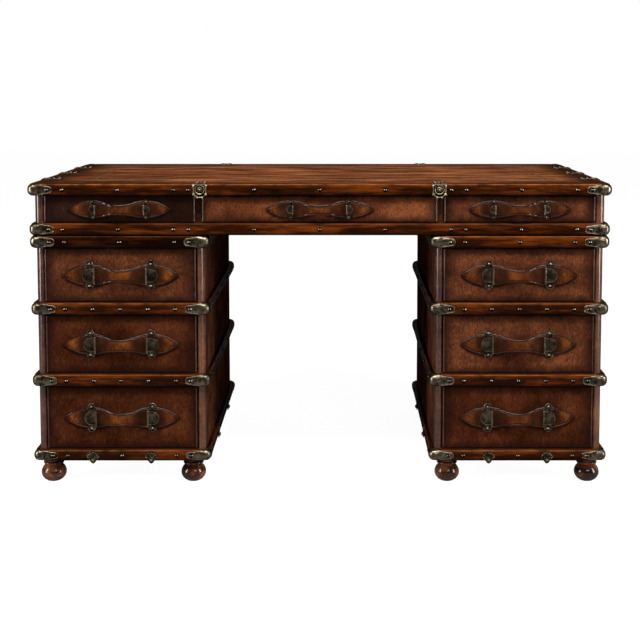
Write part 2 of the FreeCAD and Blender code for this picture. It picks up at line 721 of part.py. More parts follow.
# ---------------------------------------------------------------- strap handles
def strap_shape(length, lobe, waist, fitting_span, plate_width):
    """A leather strap: pointed lobes flat on the drawer front, and a narrow middle that bows out."""
    thick = number("Dims.strap_thick")
    bow = number("Dims.strap_bow")
    seat = number("Dims.strap_seat")
    half = fitting_span / 2 - plate_width / 2
    bend = (half * half + bow * bow) / (4 * bow)

    def bowed(offset, bend_in, bend_out):
        """The strap's centre stretch as seen from above: two bends each side, tangent to the face."""
        turn = math.asin(half / 2 / bend)
        dip = math.sin(turn / 2)
        rise = math.cos(turn / 2)
        base = seat + offset
        crown = seat + bow + offset
        inner_middle = Vector(-half + bend_in * dip, -(base + bend_in * (1 - rise)), 0)
        joint_x = -half + bend_in * math.sin(turn)
        joint = Vector(joint_x, -(base + bend_in * (1 - math.cos(turn))), 0)
        outer_middle = Vector(-bend_out * dip, -(crown - bend_out * (1 - rise)), 0)
        start = Vector(-half, -base, 0)
        top = Vector(0, -crown, 0)
        left = [(start, inner_middle, joint), (joint, outer_middle, top)]
        right = [tuple(Vector(-at.x, at.y, 0) for at in reversed(arc)) for arc in reversed(left)]
        return left + right

    back = bowed(0, bend, bend)
    face = bowed(thick, bend - thick, bend + thick)
    end = length / 2
    edges = [Part.LineSegment(Vector(-end, -seat, 0), back[0][0]).toShape()]
    edges += [Part.Arc(*points).toShape() for points in back]
    edges.append(Part.LineSegment(back[-1][2], Vector(end, -seat, 0)).toShape())
    edges.append(Part.LineSegment(Vector(end, -seat, 0), Vector(end, -seat - thick, 0)).toShape())
    edges.append(Part.LineSegment(Vector(end, -seat - thick, 0), face[-1][2]).toShape())
    edges += [Part.Arc(*points[::-1]).toShape() for points in face[::-1]]
    edges.append(Part.LineSegment(face[0][0], Vector(-end, -seat - thick, 0)).toShape())
    edges.append(Part.LineSegment(Vector(-end, -seat - thick, 0), Vector(-end, -seat, 0)).toShape())
    plan = Part.Face(Part.Wire(edges)).extrude(Vector(0, 0, lobe))
    plan.translate(Vector(0, 0, -lobe / 2))

    lobe_x = fitting_span / 2
    tip = end - lobe_x
    lancet = (tip * tip + lobe * lobe / 4) / lobe
    fall = (lobe - waist) / 2
    sweep = (lobe_x * lobe_x + fall * fall) / (4 * fall)

    def quarter(sign_x, sign_z):
        """Tip, shoulder and waist of one quarter of the outline, as three arcs."""
        def place(x, z):
            return Vector(sign_x * x, 0, sign_z * z)

        tilt = math.asin(tip / lancet)
        shoulder = place(lobe_x, lobe / 2)
        near_tip = place(lobe_x + lancet * math.sin(tilt / 2), lobe / 2 - lancet * (1 - math.cos(tilt / 2)))
        turn = math.asin(lobe_x / 2 / sweep)
        small = sweep * (1 - math.cos(turn / 2))
        upper = place(lobe_x - sweep * math.sin(turn / 2), lobe / 2 - small)
        joint = place(lobe_x / 2, (lobe + waist) / 4)
        lower = place(sweep * math.sin(turn / 2), waist / 2 + small)
        return [
            (place(end, 0), near_tip, shoulder), (shoulder, upper, joint),
            (joint, lower, place(0, waist / 2)),
        ]

    outline = quarter(-1, 1)
    outline += [points[::-1] for points in quarter(1, 1)[::-1]]
    outline += quarter(1, -1)
    outline += [points[::-1] for points in quarter(-1, -1)[::-1]]
    side_wire = Part.Wire([Part.Arc(*points).toShape() for points in outline])
    depth = seat + bow + thick
    prism = Part.Face(side_wire).extrude(Vector(0, -2 * depth, 0))
    return plan.common(prism).Solids[0]


def fitting_shape(sign, lobe, plate_width, plate_height, reach, lug_width):
    """A bridge over the strap with a lug at each end, a D-shaped plate on it, and two rivets.

    The plate's flat side is towards the middle of the drawer, so the left-hand one is mirrored.
    """
    over = number("Dims.strap_seat + Dims.strap_thick + Dims.fitting_gap")
    bar = number("Dims.bridge_thick")
    plate = number("Dims.plate_thick")
    face = over + bar
    lug = lug_width / 2
    stretch = reach - lug
    width = min(number("Dims.bridge_width"), lug_width)
    forward = Vector(0, -1, 0)
    bridge = Part.makeBox(width, bar, 2 * stretch, Vector(-width / 2, -face, -stretch))
    clear = lobe / 2 + number("Dims.fitting_gap")
    strap_room = Part.makeBox(2 * reach, over, 2 * clear, Vector(-reach, -over, -clear))
    radius = plate_height / 2
    flat = plate_width - radius
    corner_y = -face - plate
    disc = Part.makeCylinder(radius, plate, Vector(0, -face, 0), forward)
    outer_half = Part.makeBox(radius, plate, plate_height, Vector(0, corner_y, -radius))
    inner_half = Part.makeBox(flat, plate, plate_height, Vector(-flat, corner_y, -radius))
    pieces = [disc.common(outer_half), inner_half]
    rivets = []
    for end in (-1, 1):
        centre = Vector(0, 0, end * stretch)
        pieces.append(Part.makeCylinder(lug, face, centre, forward).cut(strap_room))
        rivet_width = min(number("Dims.fitting_rivet_width"), lug_width)
        rivets.append(dome(
            rivet_width, number("Dims.fitting_rivet_rise"), centre + forward * face, forward))
    body = bridge.fuse(pieces).removeSplitter()
    if sign < 0:
        body = body.mirror(Vector(0, 0, 0), Vector(1, 0, 0))
    return [body] + rivets


# ---------------------------------------------------------------- drawers
def face_panel(label, middle_x, front_y, low, width, height):
    """A drawer front: a rectangle padded backwards from its face, with its face edges softened."""
    body = doc.addObject("PartDesign::Body", label)
    sketch = body.newObject("Sketcher::SketchObject", f"{label}_outline")
    plane = [item for item in body.Origin.OriginFeatures if item.Role == "XZ_Plane"][0]
    sketch.AttachmentSupport = [(plane, "")]
    sketch.MapMode = "FlatFace"
    half = number(width) / 2
    tall = number(height)
    points = [Vector(-half, 0, 0), Vector(half, 0, 0), Vector(half, tall, 0), Vector(-half, tall, 0)]
    for start, stop in zip(points, points[1:] + points[:1]):
        sketch.addGeometry(Part.LineSegment(start, stop), False)
    for line in range(4):
        sketch.addConstraint(Sketcher.Constraint("Coincident", line, 2, (line + 1) % 4, 1))
    sketch.addConstraint(Sketcher.Constraint("Horizontal", 2))
    sketch.addConstraint(Sketcher.Constraint("Vertical", 1))
    sketch.addConstraint(Sketcher.Constraint("Vertical", 3))
    sketch.addConstraint(Sketcher.Constraint("PointOnObject", 0, 1, -1))
    sketch.addConstraint(Sketcher.Constraint("Symmetric", 0, 1, 0, 2, -2))
    wide = sketch.addConstraint(Sketcher.Constraint("DistanceX", 0, 1, 0, 2, 2 * half))
    high = sketch.addConstraint(Sketcher.Constraint("DistanceY", 1, 1, 1, 2, tall))
    sketch.setExpression(f"Constraints[{wide}]", width)
    sketch.setExpression(f"Constraints[{high}]", height)
    pad = body.newObject("PartDesign::Pad", f"{label}_panel")
    pad.Profile = sketch
    pad.setExpression("Length", "Dims.front_thick")
    pad.Reversed = True
    doc.recompute()
    soft = body.newObject("PartDesign::Fillet", f"{label}_soft_edges")
    face_edges = edges_where(pad, lambda middle, along: abs(middle.y) < TOUCH)
    names = [f"Edge{index}" for index in face_edges]
    soft.Base = (pad, names)
    soft.setExpression("Radius", "Dims.front_round")
    body.Tip = soft
    body.setExpression("Placement.Base.x", middle_x)
    body.setExpression("Placement.Base.z", low)
    body.Label = label
    body.setExpression("Placement.Base.y", plus(front_y, shift_y))
    nodes.append(body)
    return body


def drawer(prefix, middle_x, half_open, face_y, back_y, low, high, strap):
    """One drawer: its front, its box, its strap handle and the fittings that hold the strap."""
    reveal = "Dims.drawer_reveal"
    length, lobe, waist, fitting_span, plate_width, plate_height, reach, lug_width = map(number, strap)
    front_y = negative(face_y)
    front_width = f"(2 * {minus(half_open, reveal)})"
    front_height = minus(high, low, f"2 * {reveal}")
    face_panel(f"{prefix}_front", middle_x, front_y, plus(low, reveal), front_width, front_height)

    box_front = plus(front_y, "Dims.front_thick")
    box_back = minus(back_y, "Dims.drawer_end_gap")
    box_low = plus(low, "Dims.runner_gap")
    box_high = minus(high, "Dims.headroom")
    outer = minus(half_open, reveal)
    inner = minus(outer, "Dims.drawer_side")
    back_front = minus(box_back, "Dims.drawer_side")
    floor_low = plus(box_low, "Dims.bottom_lift")
    members = []
    for hand, sign in sides:
        xs = [plus(middle_x, edge) for edge in span(sign, inner, outer)]
        members.append(block(
            f"{prefix}_{hand}_side", (xs[0], box_front, box_low), (xs[1], box_back, box_high)))
    west = minus(middle_x, inner)
    east = plus(middle_x, inner)
    members.append(block(f"{prefix}_back", (west, back_front, box_low), (east, box_back, box_high)))
    members.append(block(
        f"{prefix}_floor", (west, box_front, floor_low),
        (east, back_front, plus(floor_low, "Dims.drawer_bottom"))))
    group(f"{prefix}_box", members)

    handle = Vector(number(middle_x), number(front_y), (number(low) + number(high)) / 2)
    leather_strap = strap_shape(length, lobe, waist, fitting_span, plate_width)
    leather_strap.translate(handle)
    shaped(f"{prefix}_strap", [leather_strap])
    metal = []
    for sign in (-1, 1):
        for piece in fitting_shape(sign, lobe, plate_width, plate_height, reach, lug_width):
            piece.translate(handle + Vector(sign * fitting_span / 2, 0, 0))
            metal.append(piece)
    shaped(f"{prefix}_fittings", metal)


pedestal_strap = (
    "Dims.pedestal_strap_length", "Dims.pedestal_strap_lobe", "Dims.pedestal_strap_waist",
    "Dims.pedestal_fitting_span", "Dims.pedestal_plate_width", "Dims.pedestal_plate_height",
    "Dims.pedestal_lug_reach", "Dims.lug_width",
)
frieze_side_strap = (
    "Dims.frieze_side_strap_length", "Dims.frieze_strap_lobe", "Dims.frieze_strap_waist",
    "Dims.frieze_side_fitting_span", "Dims.frieze_plate_width", "Dims.frieze_plate_height",
    "Dims.frieze_lug_reach", "Dims.frieze_lug_width",
)
frieze_centre_strap = (
    "Dims.frieze_centre_strap_length", "Dims.frieze_strap_lobe", "Dims.frieze_strap_waist",
    "Dims.frieze_centre_fitting_span", "Dims.frieze_plate_width", "Dims.frieze_plate_height",
    "Dims.frieze_lug_reach", "Dims.frieze_lug_width",
)
openings = (
    ("lower", base_high, second_low), ("middle", second_high, third_low), ("upper", third_high, fourth_low),
)
for side, sign in sides:
    for tier, low, high in openings:
        drawer(
            f"{side}_{tier}_drawer", beside(sign, pedestal_middle), pedestal_inner_half,
            pedestal_y, pedestal_back_y, low, high, pedestal_strap,
        )
side_half_open = f"({minus(frieze_inner_x, divider_far)} / 2)"
side_drawer_x = minus(frieze_inner_x, side_half_open)
for side, sign in sides:
    drawer(
        f"frieze_{side}_drawer", beside(sign, side_drawer_x), side_half_open,
        frieze_y, frieze_back_y, frieze_high, top_low, frieze_side_strap,
    )
drawer(
    "frieze_centre_drawer", "0", divider_near, frieze_y, frieze_back_y, frieze_high, top_low,
    frieze_centre_strap,
)

# ---------------------------------------------------------------- checks and export
doc.recompute()
for item in doc.Objects:
    if {"Invalid", "Error"} & set(item.State):
        raise RuntimeError(f"{item.Name} did not rebuild: {item.State}")
for node in nodes:
    if node.Shape.isNull() or not node.Shape.isValid():
        raise RuntimeError(f"{node.Label} has no valid shape")
os.makedirs("parts", exist_ok=True)
for node in nodes:
    node.Shape.exportStep(f"parts/{node.Label}.step")
print(f"{len(nodes)} sub-parts, {sum(len(node.Shape.Solids) for node in nodes)} solids")
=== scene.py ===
"""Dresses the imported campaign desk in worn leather, oiled slats and antique brass."""
from math import atan2, cos, pi, radians, sin, sqrt, tan

import bmesh
import bpy
import numpy as np
from mathutils import Matrix, Vector


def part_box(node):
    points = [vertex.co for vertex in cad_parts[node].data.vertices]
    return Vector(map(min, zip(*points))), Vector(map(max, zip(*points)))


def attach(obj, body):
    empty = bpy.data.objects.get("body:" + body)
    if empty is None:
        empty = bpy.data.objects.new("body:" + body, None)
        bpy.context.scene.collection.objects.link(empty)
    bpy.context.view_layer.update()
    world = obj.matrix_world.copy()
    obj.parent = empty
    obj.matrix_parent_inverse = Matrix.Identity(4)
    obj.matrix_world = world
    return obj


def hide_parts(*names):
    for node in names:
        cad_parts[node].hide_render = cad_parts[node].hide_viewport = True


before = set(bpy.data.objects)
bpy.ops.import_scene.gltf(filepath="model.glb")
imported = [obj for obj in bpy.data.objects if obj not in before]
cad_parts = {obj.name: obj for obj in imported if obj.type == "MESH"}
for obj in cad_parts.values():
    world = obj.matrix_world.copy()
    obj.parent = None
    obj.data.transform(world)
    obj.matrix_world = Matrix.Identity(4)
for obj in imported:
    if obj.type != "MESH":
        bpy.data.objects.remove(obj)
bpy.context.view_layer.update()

MM = 0.001


# ------------------------ camera
# A long lens straight in front of the desk, a little above its top and looking slightly down. The
# lens is shifted so that the desk sits in the upper part of the square picture.
def new_object(name, data):
    """An object of the scene."""
    made = bpy.data.objects.new(name, data)
    bpy.context.scene.collection.objects.link(made)
    return made


IMAGE = 640
SENSOR = 36
FOCAL_PIXELS = 1211
PIXELS_ASIDE = -18.2
SHIFT_UP = -0.2258
LOOKS_DOWN = 4.53
CAMERA_PLACE = (0.048, -3.488, 1.067)
camera_data = bpy.data.cameras.new("studio_camera")
camera_data.sensor_width = SENSOR
camera_data.lens = FOCAL_PIXELS * SENSOR / IMAGE
camera_data.shift_x = PIXELS_ASIDE / IMAGE
camera_data.shift_y = SHIFT_UP
camera = new_object("studio_camera", camera_data)
camera.location = CAMERA_PLACE
camera.rotation_euler = (radians(90 - LOOKS_DOWN), 0, 0)
bpy.context.scene.camera = camera
bpy.context.scene.view_settings.view_transform = "Standard"


# ------------------------ floor and lamps
# A white studio floor that keeps a soft shadow, a white surround, and soft boxes to the left and
# right of the desk, above it and in front of it. Metal sees the white cove that stands behind.
def feed(tree, node, feeds):
    """Feeds a node's inputs with values or with other nodes' outputs."""
    for key, value in feeds.items():
        if isinstance(value, bpy.types.NodeSocket):
            tree.links.new(value, node.inputs[key])
        else:
            node.inputs[key].default_value = value


def add(tree, kind, feeds=None, out=0, **settings):
    """Adds a node, sets it up, feeds it and hands on one of its outputs."""
    made = tree.nodes.new("ShaderNode" + kind)
    for key, value in settings.items():
        setattr(made, key, value)
    feed(tree, made, feeds or {})
    return made.outputs[out] if len(made.outputs) else None


def empty_tree(holder):
    """The node tree of a material or of the world, cleared."""
    holder.use_nodes = True
    holder.node_tree.nodes.clear()
    return holder.node_tree


def worked_out(tree, operation, first, second=0.0):
    """A sum on two values."""
    return add(tree, "Math", {0: first, 1: second}, operation=operation)


def ranged(tree, value, low, high, to_low=0.0, to_high=1.0):
    """A value moved from one range to another, and held inside it."""
    return add(tree, "MapRange", {0: value, 1: low, 2: high, 3: to_low, 4: to_high})


def seen_by_eye(tree):
    """One for rays from the camera and for the rays that mirror or pass the surround, else nought."""
    kinds = ("Is Camera Ray", "Is Glossy Ray", "Is Transmission Ray")
    by_camera, by_mirror, by_glass = [add(tree, "LightPath", out=kind) for kind in kinds]
    both = worked_out(tree, "MAXIMUM", by_camera, by_mirror)
    return worked_out(tree, "MAXIMUM", both, by_glass), by_camera


WHITE = (1, 1, 1, 1)
SURROUND_LIGHT = 0.14
COVE_LIGHT = (0.02, 0.25)
FLOOR_GREYS = (0.4, 0.2)
FLOOR_GLOW = (0.1, 0.96)
FLOOR_REACH = 14.0
world = bpy.data.worlds.new("studio")
bpy.context.scene.world = world
tree = empty_tree(world)
seen, by_camera = seen_by_eye(tree)
depth = add(tree, "SeparateXYZ", {0: add(tree, "TexCoord", out="Generated")}, "Y")
shown = worked_out(tree, "MAXIMUM", by_camera, ranged(tree, depth, 0.0, 0.9, *COVE_LIGHT))
strength = add(tree, "Mix", {0: seen, 2: SURROUND_LIGHT, 3: shown}, data_type="FLOAT")
add(tree, "OutputWorld", {"Surface": add(tree, "Background", {"Color": WHITE, "Strength": strength})})

floor_white = bpy.data.materials.new("floor_white")
tree = empty_tree(floor_white)
seen, by_camera = seen_by_eye(tree)
bounce, shaded = [add(tree, "BsdfDiffuse", {"Color": (grey, grey, grey, 1)}) for grey in FLOOR_GREYS]
glow = add(tree, "Emission", {"Color": WHITE, "Strength": ranged(tree, by_camera, 0.0, 1.0, *FLOOR_GLOW)})
bright = add(tree, "AddShader", {0: shaded, 1: glow})
add(tree, "OutputMaterial", {"Surface": add(tree, "MixShader", {0: seen, 1: bounce, 2: bright})})
floor_mesh = bpy.data.meshes.new("studio_floor")
floor_corners = [(FLOOR_REACH * x, FLOOR_REACH * y, 0) for x, y in ((-1, -1), (1, -1), (1, 1), (-1, 1))]
floor_mesh.from_pydata(floor_corners, [], [(0, 1, 2, 3)])
floor_mesh.materials.append(floor_white)
floor = new_object("studio_floor", floor_mesh)

LIT_POINT = Vector((0, 0, 0.45))
SOFT_BOXES = (
    # name, place, width, height, watts
    ("left_box", (-2.9, -1.4, 1.0), 0.4, 1.9, 66),
    ("right_box", (2.9, -1.4, 1.0), 0.4, 1.9, 66),
    ("over_box", (0.0, -1.5, 2.8), 3.2, 0.5, 125),
    ("front_box", (1.0, -3.4, 2.1), 1.5, 0.5, 26),
)
for name, place, width, height, watts in SOFT_BOXES:
    lamp_data = bpy.data.lights.new(name, "AREA")
    lamp_data.shape = "RECTANGLE"
    lamp_data.size = width
    lamp_data.size_y = height
    lamp_data.energy = watts
    lamp = new_object(name, lamp_data)
    lamp.location = place
    lamp.rotation_euler = (LIT_POINT - Vector(place)).to_track_quat("-Z", "Y").to_euler()


# ------------------------ boards and battens
# Plain sawn boards: the floors and tops of the two pedestals, the top's core, the board under the
# three shallow drawers, and the battens that the top section stands on. Their front edges show.
def start_finish(name):
    """A material with a bare principled shader, ready for its nodes."""
    finish = bpy.data.materials.new(name)
    tree = empty_tree(finish)
    surface = add(tree, "BsdfPrincipled")
    add(tree, "OutputMaterial", {"Surface": surface})
    return finish, tree, surface.node


def ramp(tree, factor, stops):
    """A run of colours along a factor."""
    colour = add(tree, "ValToRGB", {0: factor})
    elements = colour.node.color_ramp.elements
    while len(elements) < len(stops):
        elements.new(0.5)
    for element, (position, shade) in zip(elements, stops):
        element.position = position
        element.color = (*shade, 1)
    return colour


def stretched(tree, vector, amounts):
    """Coordinates pulled out along their axes."""
    return add(tree, "VectorMath", {0: vector, 1: amounts}, operation="MULTIPLY")


def noise_of(tree, place, scale, detail=4.0, roughness=0.55, pull=(1, 1, 1)):
    """A cloud of values from nought to one, with a pull along the axes for grain that runs."""
    spot = stretched(tree, place, pull)
    feeds = {"Vector": spot, "Scale": scale, "Detail": detail, "Roughness": roughness}
    return add(tree, "TexNoise", feeds, "Fac")


def blend_of(tree, factor, first, second, kind="MIX"):
    """Two colours mixed, or multiplied."""
    return add(tree, "Mix", {0: factor, 6: first, 7: second}, 2, data_type="RGBA", blend_type=kind)


def total(tree, *parts):
    """The sum of values, each times its share."""
    products = [worked_out(tree, "MULTIPLY", value, share) for value, share in parts]
    result = products[0]
    for product in products[1:]:
        result = worked_out(tree, "ADD", result, product)
    return result


def wear_and_painted_light_of(tree):
    """How rubbed a dressed piece is from place to place, with its painted highlights and painted shade in
    the same value.
    """
    return add(tree, "Attribute", out="Fac", attribute_name="wear_and_painted_light")


def relief_of(tree, height, strength, distance):
    """A fine relief on the surface."""
    return add(tree, "Bump", {"Strength": strength, "Distance": distance, "Height": height})


# nearly black: painted shade along the slats' lower edges
PAINTED_SHADE_COLOUR = (0.002, 0.0012, 0.001, 1)


def wood_finish(name, dark, middle, light, along, roughness, coat, wear_and_highlight_colour=None):
    """Oiled wood whose fibres run along the first coordinate, paler where the wear value is above nought
    (rubbed arrises with a painted highlight) and nearly black where it is below nought (painted shade)."""
    finish, tree, shader = start_finish(name)
    if wear_and_highlight_colour is None:
        place = add(tree, "TexCoord", out="Object")
    else:
        place = add(tree, "Attribute", out="Vector", attribute_name="lay")
    bands = noise_of(tree, place, 1.0, 5.0, 0.6, along)
    fibres = noise_of(tree, place, 1.0, 3.0, 0.5, [22.0 if share < 10 else 700.0 for share in along])
    patches = noise_of(tree, place, 1.0, 3.0, 0.5, [6.0 if share < 15 else 20.0 for share in along])
    figure = total(tree, (bands, 0.55), (patches, 0.55))
    colour = ramp(tree, figure, ((0.36, dark), (0.53, middle), (0.7, light)))
    colour = blend_of(tree, 0.7, colour, ranged(tree, fibres, 0.35, 0.6, 0.55, 1.0), "MULTIPLY")
    if wear_and_highlight_colour is not None:
        mark = wear_and_painted_light_of(tree)
        uneven = noise_of(tree, place, 30.0, 3.0)
        # the pale colour: wear together with a painted highlight on the arrises
        wear_and_highlight = worked_out(tree, "MULTIPLY", mark, ranged(tree, uneven, 0.35, 0.7, 0.15, 1.0))
        colour = blend_of(tree, ranged(tree, wear_and_highlight, 0.0, 1.0), colour, (*wear_and_highlight_colour, 1))
        # the nearly black colour where the value is below nought: painted shade
        painted_shade = worked_out(tree, "MULTIPLY", mark, ranged(tree, uneven, 0.3, 0.7, -1.1, -0.7))
        colour = blend_of(tree, ranged(tree, painted_shade, 0.0, 1.0, 0.0, 0.92), colour, PAINTED_SHADE_COLOUR)
    feed(tree, shader, {
        "Base Color": colour, "Coat Weight": coat, "Coat Roughness": 0.18, "Specular IOR Level": 0.0,
        "Roughness": ranged(tree, fibres, 0.3, 0.7, roughness + 0.1, roughness - 0.06),
        "Normal": relief_of(tree, fibres, 0.35, 0.0006),
    })
    return finish


def show_node(node, finish):
    """Gives a CAD part that is shown as it is its finish."""
    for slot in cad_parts[node].material_slots:
        slot.link = "OBJECT"
        slot.material = finish


carcass_wood = wood_finish(
    "carcass_wood", (0.03, 0.014, 0.007), (0.055, 0.026, 0.013), (0.09, 0.045, 0.023),
    (2.0, 40.0, 40.0), 0.5, 0.0,
)
for node in ("top_board", "frieze_bottom_board", "support_battens", "left_boards", "right_boards"):
    show_node(node, carcass_wood)


# ------------------------ leather sides
# Thin hide glued over the side and back panels of the pedestals and of the top section, and over
# the rounded posts at their corners. It is lightly grained and polished by handling, and its colour is
# painted darker than the drawer fronts' hide, as shade.
def leather_finish(name, dark, middle, light, mottle, roughness, grain, coat=0.0, edge=None,
                   streak=(1, 1, 1), polished_edge=False):
    """Aged hide: cloudy dye, a fine pebbled grain, hair-fine creases, and a dark edge colour where a piece
    asks for it: on burnished edges, on the top's border and seams, and as painted shade on and under the
    straps.
    """
    finish, tree, shader = start_finish(name)
    place = add(tree, "TexCoord", out="Object")
    clouds = noise_of(tree, place, mottle, 6.0, 0.62 if streak == (1, 1, 1) else 0.6, streak)
    specks = noise_of(tree, place, 190.0, 3.0, 0.6, (1.5, 1.5, 0.7))
    figure = total(tree, (clouds, 0.62), (specks, 0.45))
    colour = ramp(tree, figure, ((0.36, dark), (0.53, middle), (0.7, light)))
    sway = stretched(tree, add(tree, "TexNoise", {"Vector": place, "Scale": 60.0}, "Color"), [0.006] * 3)
    swayed = add(tree, "VectorMath", {0: place, 1: sway}, operation="ADD")
    cells = {"Vector": swayed, "Scale": 120.0}
    creases = add(tree, "TexVoronoi", cells, "Distance", feature="DISTANCE_TO_EDGE")
    lines = ranged(tree, creases, 0.0, 0.1, 0.72, 1.0)
    colour = blend_of(tree, 0.55, colour, lines, "MULTIPLY")
    if edge is not None:
        # the dark edge colour serves real burnish and painted shade alike
        mark = wear_and_painted_light_of(tree)
        uneven = noise_of(tree, place, 35.0, 4.0, 0.6)
        burnish_and_shade = ranged(tree, total(tree, (mark, 1.0), (uneven, 0.7)), 0.55, 1.35)
        colour = blend_of(tree, burnish_and_shade, colour, (*edge, 1))
    pores = {"Vector": place, "Scale": 620.0}
    pebbles = add(tree, "TexVoronoi", pores, "Distance", feature="SMOOTH_F1")
    relief = total(tree, (pebbles, -grain), (lines, 0.8), (specks, 0.6))
    feed(tree, shader, {
        "Base Color": colour, "Coat Weight": coat, "Coat Roughness": 0.21, "Specular IOR Level": 0.0,
        "Roughness": ranged(tree, figure, 0.3, 0.7, roughness + 0.08, roughness - 0.08),
        "Normal": relief_of(tree, relief, 0.4, 0.0005),
    })
    if polished_edge:
        feed(tree, shader, {"Coat Weight": ranged(tree, mark, 0.88, 1.0, 0.0, coat)})
    return finish


# a darker copy of the drawer fronts' hide: painted shade on the sides, backs and kneehole
painted_shade_side_leather = leather_finish(
    "painted_shade_side_leather", (0.01, 0.004, 0.003), (0.042, 0.014, 0.0065), (0.095, 0.033, 0.014), 12.0, 0.5, 0.5,
)
for node in ("left_panels", "right_panels", "frieze_panels"):
    show_node(node, painted_shade_side_leather)


# ------------------------ bun feet
# Eight turned feet of dark polished wood: a flattened ball on the floor, a neck, and a bead and a
# thin collar under the base board. Each is screwed up into the board.
class Stock:
    """Points and faces of a piece, with the run of its stuff (lay), and a value per point for how rubbed it
    is that also carries painted highlights and painted shade.
    """

    def __init__(self, points, faces, lay=None, wear_and_painted_light=None):
        self.points = np.asarray(points, float)
        self.faces = faces
        self.lay = self.points.copy() if lay is None else np.reshape(lay, (-1, 3)).astype(float)
        self.wear_and_painted_light = np.zeros(len(self.points)) if wear_and_painted_light is None else np.ravel(wear_and_painted_light).astype(float)

    def moved(self, *matrices):
        """The same piece turned, mirrored or carried elsewhere; the last matrix comes first."""
        points = self.points
        for matrix in reversed(matrices):
            grid = np.array(matrix)
            points = points @ grid[:3, :3].T + grid[:3, 3]
        return Stock(points, self.faces, self.lay, self.wear_and_painted_light)


def assembled(pieces):
    """Several pieces taken together as one."""
    faces = []
    start = 0
    for piece in pieces:
        faces += [tuple(start + corner for corner in face) for face in piece.faces]
        start += len(piece.points)
    rows = [[getattr(piece, part) for piece in pieces] for part in ("points", "lay", "wear_and_painted_light")]
    points, lay, wear_and_painted_light = [np.concatenate(row) for row in rows]
    return Stock(points, faces, lay, wear_and_painted_light)


def add_piece(name, pieces, finish, body, slot, *replaced, crease=40):
    """Makes the pieces into one object in its finish, on its body, in place of its CAD parts."""
    stock = assembled(pieces)
    mesh = bpy.data.meshes.new(name)
    mesh.from_pydata(stock.points.tolist(), [], stock.faces)
    mesh.attributes.new("lay", "FLOAT_VECTOR", "POINT").data.foreach_set("vector", stock.lay.ravel())
    mesh.attributes.new("wear_and_painted_light", "FLOAT", "POINT").data.foreach_set("value", stock.wear_and_painted_light)
    work = bmesh.new()
    work.from_mesh(mesh)
    bmesh.ops.recalc_face_normals(work, faces=work.faces)
    work.to_mesh(mesh)
    work.free()
    mesh.polygons.foreach_set("use_smooth", [True] * len(mesh.polygons))
    mesh.set_sharp_from_angle(angle=radians(crease))
    mesh.materials.append(finish)
    piece = new_object(name, mesh)
    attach(piece, body)
    if replaced:
        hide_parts(*replaced)


def quads(grid):
    """The four-cornered faces of a grid of point numbers."""
    return np.stack([grid[:-1, :-1], grid[1:, :-1], grid[1:, 1:], grid[:-1, 1:]], axis=-1).reshape(-1, 4)


def lofted(rings, lay=None, wear_and_painted_light=None):
    """A solid skinned over a row of closed rings of points."""
    rings = np.asarray(rings, float)
    grid = np.arange(rings.size // 3).reshape(rings.shape[:2])
    faces = quads(np.column_stack([grid, grid[:, 0]]).T).tolist() + grid[[0, -1]].tolist()
    return Stock(rings.reshape(-1, 3), faces, lay, wear_and_painted_light)


def turned(profile, steps=32, wear_and_painted_light=None):
    """A turned piece about the upright axis, from (radius, height) pairs in millimetres."""
    angles = np.linspace(0, 2 * pi, steps, endpoint=False)
    rings = [
        [(radius * MM * cos(angle), radius * MM * sin(angle), height * MM) for angle in angles]
        for radius, height in profile
    ]
    return lofted(rings, wear_and_painted_light=None if wear_and_painted_light is None else np.repeat(wear_and_painted_light, steps))


def solids_of(node):
    """The lowest and highest corners of each separate solid of a CAD part."""
    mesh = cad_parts[node].data
    keys = {}
    spots = [keys.setdefault(tuple(round(c, 6) for c in v.co), len(keys)) for v in mesh.vertices]
    leaders = list(range(len(keys)))

    def leader(spot):
        while leaders[spot] != spot:
            leaders[spot] = leaders[leaders[spot]]
            spot = leaders[spot]
        return spot

    for face in mesh.polygons:
        first = leader(spots[face.vertices[0]])
        for corner in face.vertices[1:]:
            leaders[leader(spots[corner])] = first
    groups = {}
    for place, spot in keys.items():
        groups.setdefault(leader(spot), []).append(place)
    return [(Vector(np.min(group, 0)), Vector(np.max(group, 0))) for group in groups.values()]


def put(place, sign_x=1, sign_y=1):
    """Carries a piece to a place, mirrored where a sign is negative."""
    return Matrix.Translation(place) @ Matrix.Diagonal((sign_x, sign_y, 1, 1))


foot_wood = wood_finish(
    "foot_wood", (0.004, 0.0015, 0.001), (0.026, 0.008, 0.003), (0.24, 0.074, 0.021),
    (24.0, 24.0, 40.0), 0.2, 0.8,
)
FOOT_PROFILE = (
    (0.2, 0.0), (9.0, 0.0), (13.0, 0.5), (18.5, 2.5), (25.0, 7.0), (29.8, 12.8), (32.4, 19.0), (33.0, 25.0),
    (32.0, 31.0), (29.0, 37.5), (25.0, 42.5), (22.2, 45.0), (21.2, 46.6), (23.4, 47.4), (26.2, 48.6),
    (27.0, 50.6), (26.2, 52.8), (23.6, 54.0), (21.4, 55.0), (22.0, 56.4), (24.6, 57.4), (25.6, 59.4),
    (24.8, 61.6), (22.4, 62.8), (22.2, 67.0), (0.2, 67.0),
)
one_foot = turned(FOOT_PROFILE, 48)
for node in ("left_feet", "right_feet"):
    places = [((low.x + high.x) / 2, (low.y + high.y) / 2, 0) for low, high in solids_of(node)]
    feet = [one_foot.moved(put(place)) for place in places]
    add_piece(node.replace("feet", "bun_feet"), feet, foot_wood, "desk", "dark_wood", node, crease=50)


